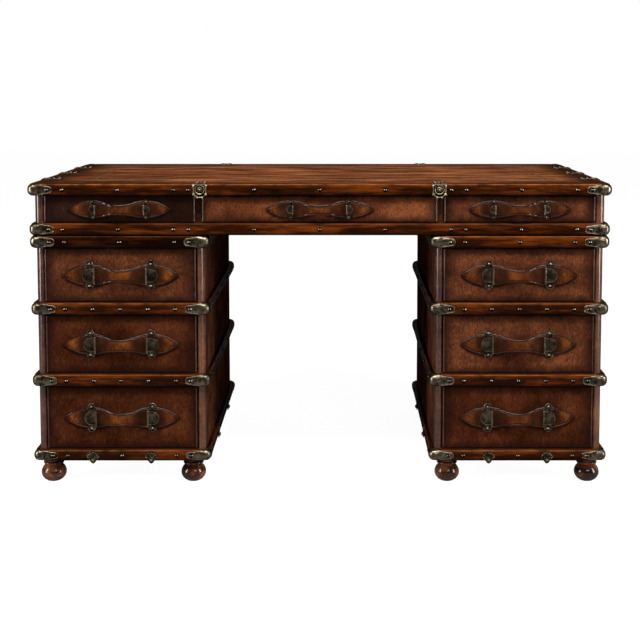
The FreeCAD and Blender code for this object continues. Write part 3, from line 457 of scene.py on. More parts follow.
# ------------------------ wooden slats
# Hardwood slats ring every level of the trunk-like carcass and are nailed to its boards. Their
# outer arrises are rounded over; the upper arris is painted pale, partly as wear and partly as a
# highlight, the lower edge is painted dark as shade, and their faces are slightly uneven with age.
def stations(low, high, radius, step):
    """Places along a block, gathered near its ends where it is rounded."""
    near = np.array([radius * (1 - tan(radians(angle))) for angle in (45, 30, 15)])
    count = max(1, round((high - low - 2 * radius) / step))
    middle = np.linspace(low + radius, high - radius, count + 1)
    return np.concatenate([low + near, middle, high - near[::-1]])


def unit(runs):
    """Directions of length one."""
    return runs / np.maximum(np.linalg.norm(runs, axis=1, keepdims=True), 1e-9)


def rounded_block(low, high, radius, steps):
    """A block with rounded edges between two corners, with points every few steps along it."""
    runs = [stations(low[axis], high[axis], radius, steps[axis]) for axis in range(3)]
    points = np.stack(np.meshgrid(*runs, indexing="ij"), axis=-1).reshape(-1, 3)
    grid = np.arange(len(points)).reshape([len(run) for run in runs])
    walls = [quads(grid.take(end, axis)) for axis in range(3) for end in (0, -1)]
    shell, faces = np.unique(np.concatenate(walls), return_inverse=True)
    points = points[shell]
    core = np.clip(points, np.array(low) + radius, np.array(high) - radius)
    away = points - core
    return Stock(core + unit(away) * radius, faces.reshape(-1, 4).tolist())


def fade(distance, reach, start=1.0):
    """Falls from one to nought over a reach, from a little before its start."""
    return np.clip(start - distance / reach, 0, 1)


def waves(points, size, seed):
    """Gentle unevenness between -1 and 1, the same each time for the same seed."""
    draw = np.random.default_rng(seed)
    height = np.zeros(len(points))
    for _ in range(5):
        bearing = draw.normal(size=3)
        bearing /= np.linalg.norm(bearing)
        pitch = 2 * pi / (size * draw.uniform(0.6, 1.6))
        height += np.sin(points @ bearing * pitch + draw.uniform(0, 2 * pi))
    return height / 5


SLAT_GRAIN = (14.0, 140.0, 140.0)
# the last colour is the pale upper arris: wear together with a painted highlight
slat_wood = wood_finish(
    "slat_wood", (0.004, 0.0013, 0.0007), (0.021, 0.0046, 0.001), (0.11, 0.024, 0.0033),
    SLAT_GRAIN, 0.36, 0.07, (0.32, 0.088, 0.018),
)
# a darker copy of the slat wood: painted shade for the slats in the kneehole and the left pedestal's topmost
# ring
painted_shade_slat_wood = wood_finish(
    "painted_shade_slat_wood", (0.0022, 0.0008, 0.0005), (0.006, 0.0013, 0.0004), (0.036, 0.008, 0.0012),
    SLAT_GRAIN, 0.36, 0.08, (0.1, 0.028, 0.007),
)
SLAT_ROUND = 3 * MM
SLAT_MESH_ALONG = 14 * MM
SLAT_MESH_ACROSS = 9 * MM
SLAT_SINK = 4 * MM
SLAT_STOP = 12 * MM
WEAR_AND_HIGHLIGHT_BAND = 2.6 * MM
PAINTED_SHADE_BAND = 7 * MM
DENTED_SKIN = 6 * MM
SMALL_DENT = 0.10 * MM
LARGE_DENT = 0.22 * MM


def slat(low, high, along, outward, seed, arris_wear_and_highlight):
    """One slat: its run, its upper arris painted pale as wear and highlight, its lower edge painted dark as
    shade, and its slightly wandering face.
    """
    steps = [SLAT_MESH_ACROSS] * 3
    steps[along] = SLAT_MESH_ALONG
    stock = rounded_block(low, high, SLAT_ROUND, steps)
    across = 1 - along
    level = stock.points[:, 2].copy()
    middle = (low[2] + high[2]) / 2
    behind = np.abs(stock.points[:, across] - (high[across] if outward > 0 else low[across]))
    from_edge = np.minimum(level - low[2], high[2] - level)
    # the upper outer arris is painted pale: partly wear, partly a painted highlight from the light above
    wear_and_highlight = arris_wear_and_highlight * fade(behind + from_edge, WEAR_AND_HIGHLIGHT_BAND, 1.25)
    # the lower half of the slat is darkened along its edge: painted shade
    stock.wear_and_painted_light = np.where(level > middle, wear_and_highlight, -fade(from_edge, PAINTED_SHADE_BAND, 1.2))
    draw = np.random.default_rng(seed)
    stock.lay = stock.points[:, [along, across, 2]] + draw.uniform(-5, 5, 3)
    dents = LARGE_DENT * (waves(stock.points, 0.09, seed) + 0.8)
    dents += SMALL_DENT * waves(stock.points, 0.03, seed + 1)
    dents *= fade(behind, DENTED_SKIN)
    stock.points[:, across] -= outward * dents
    stock.points[:, 2] -= np.sign(level - middle) * 0.5 * dents
    return stock


def slat_ring(low, high, thick, seed, arris_wear_and_highlight):
    """The four slats round one level, between the outer corners of their faces."""
    left, front, base = low
    right, back, crown = high
    end = thick + SLAT_STOP
    deep = thick + SLAT_SINK
    return [
        slat((left + end, front, base), (right - end, front + deep, crown), 0, -1, seed, arris_wear_and_highlight),
        slat((left + end, back - deep, base), (right - end, back, crown), 0, 1, seed + 3, arris_wear_and_highlight),
        slat((left, front + end, base), (left + deep, back - end, crown), 1, -1, seed + 5, arris_wear_and_highlight),
        slat((right - deep, front + end, base), (right, back - end, crown), 1, 1, seed + 7, arris_wear_and_highlight),
    ]


SLATS = (
    # CAD node, thickness, how pale the upper arris is painted, as wear and highlight
    ("left_slats", 12 * MM, 1.0), ("right_slats", 12 * MM, 1.0), ("frieze_slats", 10 * MM, 0.3),
    ("top_edge_slats", 13 * MM, 1.2),
)
levels = {}
for number, (node, thick, arris_wear_and_highlight) in enumerate(SLATS):
    rings = sorted(solids_of(node), key=lambda ring: ring[0].z)
    levels[node] = rings
    made = [slat_ring(*ring, thick, 100 * number + 10 * index, arris_wear_and_highlight) for index, ring in enumerate(rings)]
    if len(rings) > 1:
        # the slats in the kneehole, and the left pedestal's topmost ring, take a darker copy of the wood as
        # painted shade
        shaded = made.pop() if node == "left_slats" else []
        shaded += [ring.pop(3 if node == "left_slats" else 2) for ring in made]
        add_piece(f"{node}_shaded", shaded, painted_shade_slat_wood, "desk", "slat_wood")
    add_piece(f"{node}_wood", sum(made, []), slat_wood, "desk", "slat_wood", node)


# ------------------------ corner posts
# Hardwood posts with half-round arrises, wrapped in polished hide, at the corners of every level.
# The hide's glossy flanks stand a little clear of the drawer fronts and the side panels.
def arc_points(centre, radius, start, stop, count):
    """Points on an arc, between two angles in degrees."""
    across, up = centre
    angles = np.radians(np.linspace(start, stop, count))
    return [(across + radius * cos(angle), up + radius * sin(angle)) for angle in angles]


post_hide = leather_finish(
    "post_hide", (0.014, 0.0055, 0.004), (0.044, 0.0155, 0.009), (0.1, 0.037, 0.02),
    14.0, 0.4, 0.3, 1.0,
)
# a lighter copy of the post hide for the right-hand posts of each level: painted light, as if lit from the
# right; the left-hand posts keep the darker hide
painted_light_post_hide = leather_finish(
    "painted_light_post_hide", (0.034, 0.012, 0.006), (0.088, 0.032, 0.0145), (0.17, 0.064, 0.029),
    14.0, 0.4, 0.3, 1.0,
)
POST_CORNER = 16.0 * MM
POST_FLANK = 9.0 * MM
POST_SWELL = 0.12 * MM


def corner_post(width, tall):
    """A post whose outer corner is the origin; the carcass is towards +X and +Y."""
    section = [(width, width)]
    section += arc_points((POST_FLANK, width - POST_FLANK), POST_FLANK, 90, 180, 8)
    section += arc_points((POST_CORNER, POST_CORNER), POST_CORNER, 180, 270, 12)
    section += arc_points((width - POST_FLANK, POST_FLANK), POST_FLANK, 270, 360, 8)
    heights = np.linspace(0, tall, max(3, round(tall / 0.03)))
    stock = lofted([[(across, deep, up) for across, deep in section] for up in heights])
    swell = np.maximum(waves(stock.points, 0.16, 21) * POST_SWELL, 0)
    stock.points[:, :2] += swell[:, None]
    return stock


for node in ("left_posts", "right_posts", "frieze_posts"):
    node_low, node_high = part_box(node)
    middle = (node_low + node_high) / 2
    made = []
    paler = []
    for low, high in solids_of(node):
        one = corner_post(high.x - low.x, high.z - low.z)
        sign_x = 1 if low.x < middle.x else -1
        sign_y = 1 if low.y < middle.y else -1
        corner = (low.x if sign_x > 0 else high.x, low.y if sign_y > 0 else high.y, low.z)
        # the right-hand posts take the lighter copy: painted light
        hides = made if sign_x > 0 else paler
        hides.append(one.moved(put(corner, sign_x, sign_y)))
    add_piece(f"{node}_hide", made, post_hide, "desk", "carcass_leather", node)
    add_piece(f"{node}_painted_light_hide", paler, painted_light_post_hide, "desk", "carcass_leather")

# ------------------------ leather writing surface
# A middle hide and a border of four strips, laid flush inside the slats, glued to the top's core and
# sewn to each other with a double row of thread.
top_hide = leather_finish(
    "top_hide", (0.017, 0.0062, 0.0032), (0.098, 0.031, 0.0115), (0.33, 0.12, 0.044), 5.0, 0.55, 0.35,
    edge=(0.022, 0.008, 0.004), streak=(1.3, 4.6, 4.6),
)
SEAM_INSET = 130 * MM
SEAM_DEEP = 0.9 * MM
SEAM_HALF = 2.5 * MM
SEAM_ROWS = 3.6 * MM
RIM_DROP = 0.8 * MM
RIM_ROUND = 1.2 * MM
DARK_BORDER = 90 * MM


def seam_dip(points, seams):
    """How far a row of seams draws the hide down, from nought to one."""
    nearest = np.min([np.abs(points - seam) for seam in seams], axis=0)
    return fade(nearest, SEAM_HALF) ** 1.5


def sheet_runs(low, high, seams, step):
    """Places along a sheet, closer together at its ends and its seams."""
    runs = [low, low + 0.3 * MM, low + MM, high - MM, high - 0.3 * MM, high]
    for seam in seams:
        runs += [seam + share * SEAM_HALF for share in (-1.0, -0.6, -0.3, 0.0, 0.3, 0.6, 1.0)]
    runs += list(np.arange(low + step, high - step / 2, step))
    kept = []
    for place in sorted(runs):
        if not kept or place - kept[-1] > 0.2 * MM:
            kept.append(place)
    return np.array(kept)


def sheet(low, high, seams_x, seams_y, step):
    """A closed thin sheet with its upper side drawn down along the seams."""
    across = sheet_runs(low.x, high.x, seams_x, step)
    along = sheet_runs(low.y, high.y, seams_y, step)
    flat_x, flat_y = [grid.ravel() for grid in np.meshgrid(across, along, indexing="ij")]
    inside_x = (flat_x > seams_x[0] - SEAM_HALF) & (flat_x < seams_x[1] + SEAM_HALF)
    inside_y = (flat_y > seams_y[0] - SEAM_HALF) & (flat_y < seams_y[1] + SEAM_HALF)
    dip = np.maximum(seam_dip(flat_x, seams_x) * inside_y, seam_dip(flat_y, seams_y) * inside_x)
    from_end = np.minimum(flat_x - low.x, high.x - flat_x)
    rim = np.minimum(from_end, np.minimum(flat_y - low.y, high.y - flat_y))
    points = np.column_stack([flat_x, flat_y, np.full(len(flat_x), high.z)])
    rise = 0.35 * MM * waves(points, 0.22, 11) + 0.12 * MM * waves(points, 0.05, 12)
    sunk = SEAM_DEEP * dip + RIM_DROP * fade(rim, RIM_ROUND) ** 2
    points[:, 2] += 0.45 * MM + np.minimum(rise, 0.3 * MM) * np.clip(rim / 0.02, 0, 1) - sunk
    under = points.copy()
    under[:, 2] = low.z
    count = len(points)
    grid = np.arange(count).reshape(len(across), len(along))
    edge = np.concatenate([grid[:, 0], grid[-1, 1:], grid[-2::-1, -1], grid[0, -2:0:-1]])
    after = np.roll(edge, -1)
    border = np.column_stack([edge, after, count + after, count + edge])
    faces = np.concatenate([quads(grid), count + quads(grid)[:, ::-1], border]).tolist()
    wear_and_painted_light = fade(rim, DARK_BORDER) * 0.8 + dip * 0.5 + fade(from_end, 0.5) * 0.5
    return Stock(np.concatenate([points, under]), faces, wear_and_painted_light=[wear_and_painted_light, wear_and_painted_light])


def stitches(path, pitch, length, thick, up):
    """Thread along a path of points: short rounded dashes that dive into the hide at both ends."""
    path = [Vector(point) for point in path]
    made = []
    for start, stop in zip(path, path[1:]):
        run = stop - start
        along = run.normalized()
        side = along.cross(up)
        count = int(run.length / pitch)
        for index in range(count):
            middle = start + along * (index + 0.5) * run.length / count
            rings = []
            for share in (-1.0, -0.8, -0.4, 0.4, 0.8, 1.0):
                size = thick / 2 * (0.45 if abs(share) == 1.0 else 1.0)
                drop = -thick * 0.6 * share ** 4
                centre = middle + along * (share * length / 2) + up * drop
                turns = np.linspace(0, 2 * pi, 6, endpoint=False)
                rings.append([centre + side * (size * cos(turn)) + up * (size * sin(turn))
                              for turn in turns])
            made.append(lofted(rings))
    return made


def thread_finish(name, colour):
    """Waxed linen thread with a fine twist."""
    finish, tree, shader = start_finish(name)
    place = add(tree, "TexCoord", out="Object")
    twist = add(tree, "TexWave", {"Vector": place, "Scale": 900.0, "Distortion": 2.0}, "Fac")
    dirt = noise_of(tree, place, 40.0, 3.0)
    paler = tuple(min(1.0, 1.7 * part) for part in colour)
    feed(tree, shader, {
        "Base Color": ramp(tree, dirt, ((0.35, colour), (0.7, paler))),
        "Roughness": ranged(tree, dirt, 0.3, 0.7, 0.6, 0.75),
        "Normal": relief_of(tree, twist, 0.5, 0.0002),
    })
    return finish


low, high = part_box("top_leather")
seams_x = (low.x + SEAM_INSET, high.x - SEAM_INSET)
seams_y = (low.y + SEAM_INSET, high.y - SEAM_INSET)
hides = sheet(low, high, seams_x, seams_y, 0.012)
add_piece("top_hides", [hides], top_hide, "desk", "top_leather", "top_leather")
thread = thread_finish("thread", (0.065, 0.032, 0.016))
rows = []
for offset in (-SEAM_ROWS, SEAM_ROWS):
    left, right = seams_x[0] - offset, seams_x[1] + offset
    front, back = seams_y[0] - offset, seams_y[1] + offset
    level = high.z + 0.5 * MM
    corners = [(left, front, level), (right, front, level), (right, back, level), (left, back, level)]
    rows += stitches(corners + corners[:1], 6.0 * MM, 4.4 * MM, 1.1 * MM, Vector((0, 0, 1)))
add_piece("top_seam_stitches", rows, thread, "desk", "top_leather")


# ------------------------ corner caps
# Pressed brass caps, darkened to gunmetal and rubbed bright on their rims: a round block over each
# corner of a slat ring, and two legs with round ends and a raised rim that lie on the slats.
def brass_finish(name, dark, middle, bright, roughness):
    """Metal with a dark patina, cloudy wear and small pits, and a bright colour where the wear value is
    high: rubbed rims, and on the nails painted highlights.
    """
    finish, tree, shader = start_finish(name)
    place = add(tree, "TexCoord", out="Object")
    clouds = noise_of(tree, place, 85.0, 5.0, 0.7)
    colour = ramp(tree, clouds, ((0.42, dark), (0.6, middle)))
    wear_and_highlight = worked_out(tree, "MULTIPLY", wear_and_painted_light_of(tree), ranged(tree, clouds, 0.3, 0.65, 0.45, 1.0))
    pits = noise_of(tree, place, 420.0, 3.0, 0.6)
    polish = ranged(tree, clouds, 0.3, 0.7, roughness + 0.07, roughness - 0.03)
    feed(tree, shader, {
        "Base Color": blend_of(tree, wear_and_highlight, colour, (*bright, 1)), "Metallic": 1.0,
        "Roughness": total(tree, (polish, 1.0), (wear_and_highlight, 0.26)), "Specular Tint": (0.1, 0.09, 0.07, 1),
        "Normal": relief_of(tree, total(tree, (pits, 1.0), (clouds, 1.5)), 0.18, 0.0004),
    })
    return finish


def inset(outline, distance):
    """A closed outline of (across, up) points moved inwards."""
    outline = np.asarray(outline, float)
    runs = unit(np.roll(outline, -1, axis=0) - outline)
    after = np.column_stack([-runs[:, 1], runs[:, 0]])
    before = np.roll(after, 1, axis=0)
    inward = unit(before + after)
    lean = np.clip(np.sum(inward * before, axis=1), 0.5, 1)
    return outline + inward * (distance / lean)[:, None]


def rimmed_plate(outline, thick, rim, rim_width, sunk=0.0):
    """A plate facing -Y with a raised rim, its back at Y = 0. The outline runs anticlockwise."""
    steps = (
        # inwards, height, how rubbed
        (0.0, -sunk, 0.0), (0.0, thick + 0.6 * rim, 0.7), (0.25 * rim_width, thick + rim, 1.0),
        (0.65 * rim_width, thick + rim, 1.0), (rim_width, thick + 0.15 * rim, 0.3),
        (1.35 * rim_width, thick, 0.0),
    )
    inwards, heights, marks = zip(*steps)
    rings = [[(across, -height, up) for across, up in inset(outline, distance)]
             for distance, height in zip(inwards, heights)]
    return lofted(rings, wear_and_painted_light=np.repeat(marks, len(outline)))


CAP_LEG = 63 * MM
LEG_ROUND = 10.5 * MM
CAP_ROUND = 13 * MM
CAP_BLOCK = 31 * MM
CAP_SHOULDER = 15 * MM
CAP_LAP = 1.0 * MM
CAP_FACE = 2.9 * MM
CAP_EDGE = 14 * MM
LEG_SKIN = 0.85 * MM
LEG_RIM = ((-0.5, 0.0), (0.5, 0.0), (0.95, 0.25), (1.25, 0.8), (1.2, 1.3), (0.85, 1.9))
LEG_TIPS = (0, 0.15, 0.5, 1.1, 2.0, 3.1, 4.6, 6.5, 8.6, 11.0)
LEG_WEAR = [0, 0.4, 0.9, 1.0, 0.9, 0.2] + [0] * 11 + [0.2, 0.9, 1.0, 0.9, 0.4, 0]


def smooth_step(value):
    value = min(1.0, max(0.0, value))
    return value * value * (3 - 2 * value)


def block_section(thick, tall):
    """The block's section, as (outward, up) points from its inner top edge round to its inner foot."""
    top, foot = tall + CAP_LAP, -CAP_LAP
    start = CAP_FACE - CAP_EDGE
    points = [(-thick, top), ((start - thick) / 2, top)]
    points += arc_points((start, top - CAP_EDGE), CAP_EDGE, 90, 0, 9)
    points += [(CAP_FACE, tall / 2)]
    points += arc_points((start, foot + CAP_EDGE), CAP_EDGE, 0, -90, 9)
    points += [((start - thick) / 2, foot), (-thick, foot)]
    return np.array(points)


def leg_section(reach, tall):
    """A leg's section at a reach from the corner: a low dome between two thin raised rims."""
    start = CAP_LEG - LEG_ROUND
    taper = min(1.0, max(0.0, (reach - CAP_SHOULDER) / (start - CAP_SHOULDER)))
    half = tall / 2 + CAP_LAP * (1 - taper) - 5.4 * MM * taper ** 0.8
    if reach > start:
        half *= max(1 - ((reach - start) / LEG_ROUND) ** 2.3, 0.0004) ** (1 / 2.3)
    crest = (2.6 - 1.0 * taper) * MM
    slim = min(1.0, half / (5 * MM))
    upper = [(out * MM, half - down * MM * slim) for out, down in LEG_RIM]
    for share in (0.8, 0.6, 0.4, 0.2):
        rise = LEG_SKIN + (crest - LEG_SKIN) * sqrt(1 - share * share)
        upper.append((rise * slim + LEG_SKIN * (1 - slim), (half - 2.2 * MM * slim) * share))
    middle = (crest * slim + LEG_SKIN * (1 - slim), 0.0)
    return np.array(upper + [middle] * 3 + [(out, -up) for out, up in reversed(upper)]) + (0, tall / 2)


def corner_cap(thick, tall):
    """One cap; the corner of the slats' faces is the origin, and the wood is towards -X and -Y."""
    rings = []
    marks = []
    reaches = [CAP_LEG - drop * MM for drop in LEG_TIPS]
    reaches += list(np.linspace(CAP_LEG - 14.5 * MM, CAP_ROUND + 1.5 * MM, 15))
    ways = [(Vector((-reach, 0)), Vector((0, 1)), reach) for reach in reaches]
    for turn in np.linspace(pi / 2, 0, 13):
        outward = Vector((cos(turn), sin(turn)))
        ways.append((Vector((-CAP_ROUND, -CAP_ROUND)) + outward * CAP_ROUND, outward, 0))
    ways += [(base.yx, outward.yx, reach) for base, outward, reach in reversed(ways[:len(reaches)])]
    block = block_section(min(thick, CAP_ROUND - 0.5 * MM), tall)
    for base, outward, reach in ways:
        share = smooth_step((CAP_BLOCK - reach) / (CAP_BLOCK - CAP_SHOULDER))
        section = share * block + (1 - share) * leg_section(max(reach, CAP_SHOULDER), tall)
        rings.append([(*(base + outward * out), up) for out, up in section])
        marks.append(0.45 * np.array(LEG_WEAR) * (1 - share) + 0.10 * share)
    return lofted(rings, wear_and_painted_light=marks)


aged_brass = brass_finish(
    "aged_brass", (0.022, 0.0175, 0.0115), (0.2, 0.158, 0.104), (0.57, 0.47, 0.33), 0.29,
)
CAPS = (
    ("left_corner_caps", ("left_slats",)), ("right_corner_caps", ("right_slats",)),
    ("top_section_corner_caps", ("frieze_slats", "top_edge_slats")),
)
thickness = {node: thick for node, thick, arris_wear_and_highlight in SLATS}
for node, rings_of in CAPS:
    made = []
    for slat_node in rings_of:
        for low, high in levels[slat_node]:
            one = corner_cap(thickness[slat_node], high.z - low.z)
            for sign_x, edge_x in ((-1, low.x), (1, high.x)):
                for sign_y, edge_y in ((-1, low.y), (1, high.y)):
                    made.append(one.moved(put((edge_x, edge_y, low.z), sign_x, sign_y)))
    add_piece(f"{node}_brass", made, aged_brass, "desk", "aged_brass", node)


# ------------------------ domed nails
# Round-headed brass nails hold the slats and the caps to the boards. Each head has a thin flange.
def facing(place, outward):
    """Carries a piece that faces -Y, with its back at the origin, to a place on another face."""
    turn = atan2(outward[1], outward[0]) + pi / 2
    return put(place) @ Matrix.Rotation(turn, 4, "Z")


def shift(across, deep, up):
    """Carries a piece by millimetres."""
    return put((across * MM, deep * MM, up * MM))


TIP_FORWARD = Matrix.Rotation(pi / 2, 4, "X")
NAIL_PROFILE = (
    (0.1, -1.2), (5.9, -1.2), (6.0, 0.1), (5.6, 0.35), (4.5, 0.5), (4.0, 1.1), (3.4, 1.75), (2.6, 2.3),
    (1.6, 2.65), (0.7, 2.78), (0.1, 2.8),
)
one_nail = turned(NAIL_PROFILE, 24).moved(TIP_FORWARD)
for across in (-2.5 * MM, 2.5 * MM):
    # a painted highlight on either side of the dome
    off = np.hypot(one_nail.points[:, 0] - across, one_nail.points[:, 2] - 0.7 * MM)
    one_nail.wear_and_painted_light = np.maximum(one_nail.wear_and_painted_light, fade(off, 1.2 * MM, 1.5))
PEDESTAL_TOP = levels["left_slats"][-1][1].z + 0.5 * MM
middles = [(levels[node][0][0].x + levels[node][0][1].x) / 2 for node in ("left_slats", "right_slats")]


def where_it_faces(low, high, with_leaf=False):
    """The foot and the outward direction of a small piece on one of the desk's upright faces. It is
    thinnest along that direction, unless a leaf runs inwards from it."""
    middle = (low + high) / 2
    size = high - low
    axis = 0 if (size.x < size.y) != with_leaf else 1
    home = Vector((0, 0, 0))
    if axis == 0 and middle.z < PEDESTAL_TOP:
        home.x = middles[0 if middle.x < 0 else 1]
    sign = 1 if middle[axis] > home[axis] else -1
    foot = middle.copy()
    foot[axis] = low[axis] if sign > 0 else high[axis]
    outward = [0, 0]
    outward[axis] = sign
    return foot, outward


# this brass shows its bright colour only in the nails' painted highlights
nail_brass = brass_finish(
    "nail_brass", (0.006, 0.0045, 0.0035), (0.016, 0.012, 0.009), (0.62, 0.49, 0.34), 0.12,
)
made = [one_nail.moved(facing(*where_it_faces(*ends))) for ends in solids_of("nails")]
add_piece("domed_nails", made, nail_brass, "desk", "aged_brass", "nails")

# ------------------------ clasps
# Pressed brass clasps nailed over the slats: on the top's edge a flared plate with a rosette, a hook
# below and a leaf tacked down on the top, and on the base rails a fluted fan with a drop knob.
shadow_brass = brass_finish(
    "shadow_brass", (0.014, 0.0112, 0.007), (0.075, 0.06, 0.036), (0.5, 0.4, 0.24), 0.22,
)
CLASP_PLATE = 1.6 * MM
CLASP_TALL = 25 * MM
CLASP_DROP = 8 * MM
FAN_DROP = 7 * MM
ROSETTE = (
    (0.1, -0.5), (12.8, -0.5), (13.0, 1.0), (12.5, 2.1), (11.7, 2.4), (10.9, 2.0), (10.2, 0.4), (8.8, 0.2),
    (8.2, 1.0), (7.9, 2.6), (6.9, 3.7), (5.4, 4.4), (3.4, 4.6), (2.6, 4.3), (1.9, 4.8), (0.1, 5.0),
)
ROSETTE_WEAR = (0, 0, 0.2, 0.5, 0.7, 0.4, 0, 0, 0, 0.1, 0.2, 0.2, 0.1, 0.0, 1.0, 1.0)
BUMP = ((0.1, -1.0), (2.9, -1.0), (2.9, 0.4), (2.4, 1.3), (1.4, 1.9), (0.1, 2.1))
KNOB = (
    (0.1, -0.5), (6.6, -0.5), (6.8, 1.0), (6.0, 2.0), (4.9, 2.1), (5.2, 3.2), (4.6, 4.4), (3.0, 4.9),
    (0.1, 5.0),
)
FLARE = (
    (8.0, -8.0), (8.6, -4.0), (13.5, -0.2), (19.0, 0.6), (18.0, 5.0), (17.2, 10.0), (17.0, 15.0),
    (17.3, 20.0), (18.4, 25.0), (20.0, 29.8),
)
HOOK = ((-5.0, -7.4), (-2.5, -5.2), (2.5, -5.2), (5.0, -7.4))
LEAF_HALF = 17 * MM
LEAF_REACH = 52 * MM
LEAF_TOP = 31.5 * MM
LEAF_DISH = 0.6 * MM
LEAF_TACKS = ((-9.5, 43), (9.5, 43), (0, 29), (-9.5, 13), (9.5, 13))


def fluted(stock, count, depth, inner, outer):
    """Presses flutes into a turned piece between two radii."""
    x, y, z = stock.points.T
    radius = np.hypot(x, y)
    share = np.clip((radius - inner) / (outer - inner), 0, 1) * (radius < outer * 1.02)
    dip = depth * (0.5 - 0.5 * np.cos(count * np.arctan2(y, x))) * share
    z -= dip
    stock.wear_and_painted_light *= 1 - 0.8 * dip / depth
    return stock


def top_clasp():
    """A clasp of the top's edge, facing -Y, with its foot at the slat's lower edge."""
    outline = [*FLARE, *[(-across, up) for across, up in reversed(FLARE)], *HOOK]
    plate = rimmed_plate(np.array(outline) * MM, 1.1 * MM, 0.8 * MM, 2.2 * MM, 0.8 * MM)
    plate.wear_and_painted_light *= 0.55
    rosette = fluted(turned(ROSETTE, 48, ROSETTE_WEAR), 8, 0.7 * MM, 3.0 * MM, 7.8 * MM)
    rosette = rosette.moved(shift(0, -0.8, 16), TIP_FORWARD)
    bump = turned(BUMP, 14, (0, 0, 0.5, 1, 1, 1)).moved(TIP_FORWARD)
    bumps = [bump.moved(shift(side * across, -1.4, up))
             for across, up in ((16.2, 26.0), (15.2, 4.2)) for side in (-1, 1)]
    loops = [bump.moved(shift(across, -1.2, -4.6) @ Matrix.Scale(0.9, 4)) for across in (-6.2, 6.2)]
    leaf = rounded_block((-LEAF_HALF, -1.4 * MM, 28.4 * MM), (LEAF_HALF, LEAF_REACH, LEAF_TOP), 0.9 * MM,
                         [0.004] * 3)
    x, y, z = leaf.points.T
    from_rim = np.minimum(LEAF_HALF - np.abs(x), LEAF_REACH - y)
    leaf.wear_and_painted_light = 0.12 * fade(from_rim, 3 * MM, 1.15)
    z -= LEAF_DISH * np.clip(from_rim / (2 * MM) - 0.7, 0, 1) * (z > 30.2 * MM)
    lying = Matrix.Rotation(-pi / 2, 4, "X") @ Matrix.Diagonal((1.1, 1.2, 1.1, 1))
    above = LEAF_TOP / MM - 0.4
    tacks = [bump.moved(shift(across, deep, above) @ lying) for across, deep in LEAF_TACKS]
    for tack in tacks:
        tack.wear_and_painted_light *= 0.5
    return assembled([plate, rosette, leaf, *tacks, *bumps, *loops])


FAN_LOBES = [188 - 196 * (lobe + 0.5) / 7 for lobe in range(7)]


def fan_outline():
    """A fan with seven scallops above and a rounded drop below."""
    points = []
    for middle in FAN_LOBES:
        for part in (-0.42, -0.2, 0.0, 0.2, 0.42):
            size = 15.2 + 1.3 * cos(part * pi / 0.9)
            angle = middle - part * 196 / 7
            points += arc_points((0, 10.5), size, angle, angle, 1)
    drop = [(12.0, 4.5), (8.2, 0.5), (6.0, -3.0), (3.0, -6.0)]
    points += drop + [(0.0, -6.9)] + [(-across, up) for across, up in reversed(drop)]
    return np.array(points[::-1]) * MM


def fan_clasp():
    """A fan clasp of the base rail, facing -Y, with its foot at the rail's lower edge."""
    plate = rimmed_plate(fan_outline(), 1.0 * MM, 0.7 * MM, 1.5 * MM, 0.8 * MM)
    plate.wear_and_painted_light *= 0.15
    knob = turned(KNOB, 24, (0, 0, 0.1, 0.2, 0, 0, 0.1, 0.7, 1))
    pieces = [plate, knob.moved(shift(0, -1.2, 4.2), TIP_FORWARD)]
    for angle in np.radians(FAN_LOBES):
        direction = Vector((cos(angle), 0, sin(angle)))
        side = Vector((-direction.z, 0, direction.x))
        rings = []
        for reach, size in ((6.5, 0.5), (9.0, 0.9), (12.0, 1.4), (13.8, 1.7), (14.8, 1.0)):
            centre = Vector((0, -1.2, 8.2)) + direction * reach
            rings.append([
                (centre + side * (size * cos(turn)) + Vector((0, -size * 0.9 * sin(turn), 0))) * MM
                for turn in np.linspace(-0.4, pi + 0.4, 7)
            ])
        pieces.append(lofted(rings, wear_and_painted_light=np.repeat((0.0, 0.0, 0.0, 0.3, 0.6), 7)))
    return assembled(pieces)


CLASPS = (
    # CAD node, the piece, how far it hangs below the slat, whether it has a leaf
    ("top_clasps", top_clasp(), CLASP_DROP, True), ("base_clasps", fan_clasp(), FAN_DROP, False),
)
for node, one, drop, with_leaf in CLASPS:
    made = []
    for low, high in solids_of(node):
        if high.z - low.z > CLASP_TALL:
            foot, outward = where_it_faces(low, high, with_leaf)
            axis = 0 if outward[0] else 1
            foot[axis] = (high[axis] if outward[axis] > 0 else low[axis]) - outward[axis] * CLASP_PLATE
            foot.z = low.z + drop
            made.append(one.moved(facing(foot, outward)))
    add_piece(f"{node}_brass", made, shadow_brass, "desk", "aged_brass", node)

# ------------------------ drawer fronts
# A board covered with a hide that is turned over its edges and darkens to nearly black towards them, with a
# thin polished welt glued along both upright edges. A shadow under the strap is painted on the hide.
FRONT_HIDE = ((0.022, 0.007, 0.0032), (0.082, 0.024, 0.0085), (0.19, 0.062, 0.02))
DYE_LOTS = {
    # shares of the hide's red, green and blue
    "darkest": (0.17, 0.22, 0.36), "dark": (0.47, 0.41, 0.43), "brown": (0.82, 0.83, 0.98),
    "tan": (1.08, 1.06, 1.12),
}
DRAWERS = {
    "left_lower_drawer": "dark", "left_middle_drawer": "dark", "left_upper_drawer": "brown",
    "right_lower_drawer": "dark", "right_middle_drawer": "brown", "right_upper_drawer": "brown",
    "frieze_left_drawer": "darkest", "frieze_right_drawer": "brown", "frieze_centre_drawer": "tan",
}
front_hides = {}
for lot, shares in DYE_LOTS.items():
    dyed = [tuple(share * part for share, part in zip(shares, colour)) for colour in FRONT_HIDE]
    front_hides[lot] = leather_finish(f"front_hide_{lot}", *dyed, 9.0, 0.48, 0.5, edge=(0.01, 0.004, 0.003))
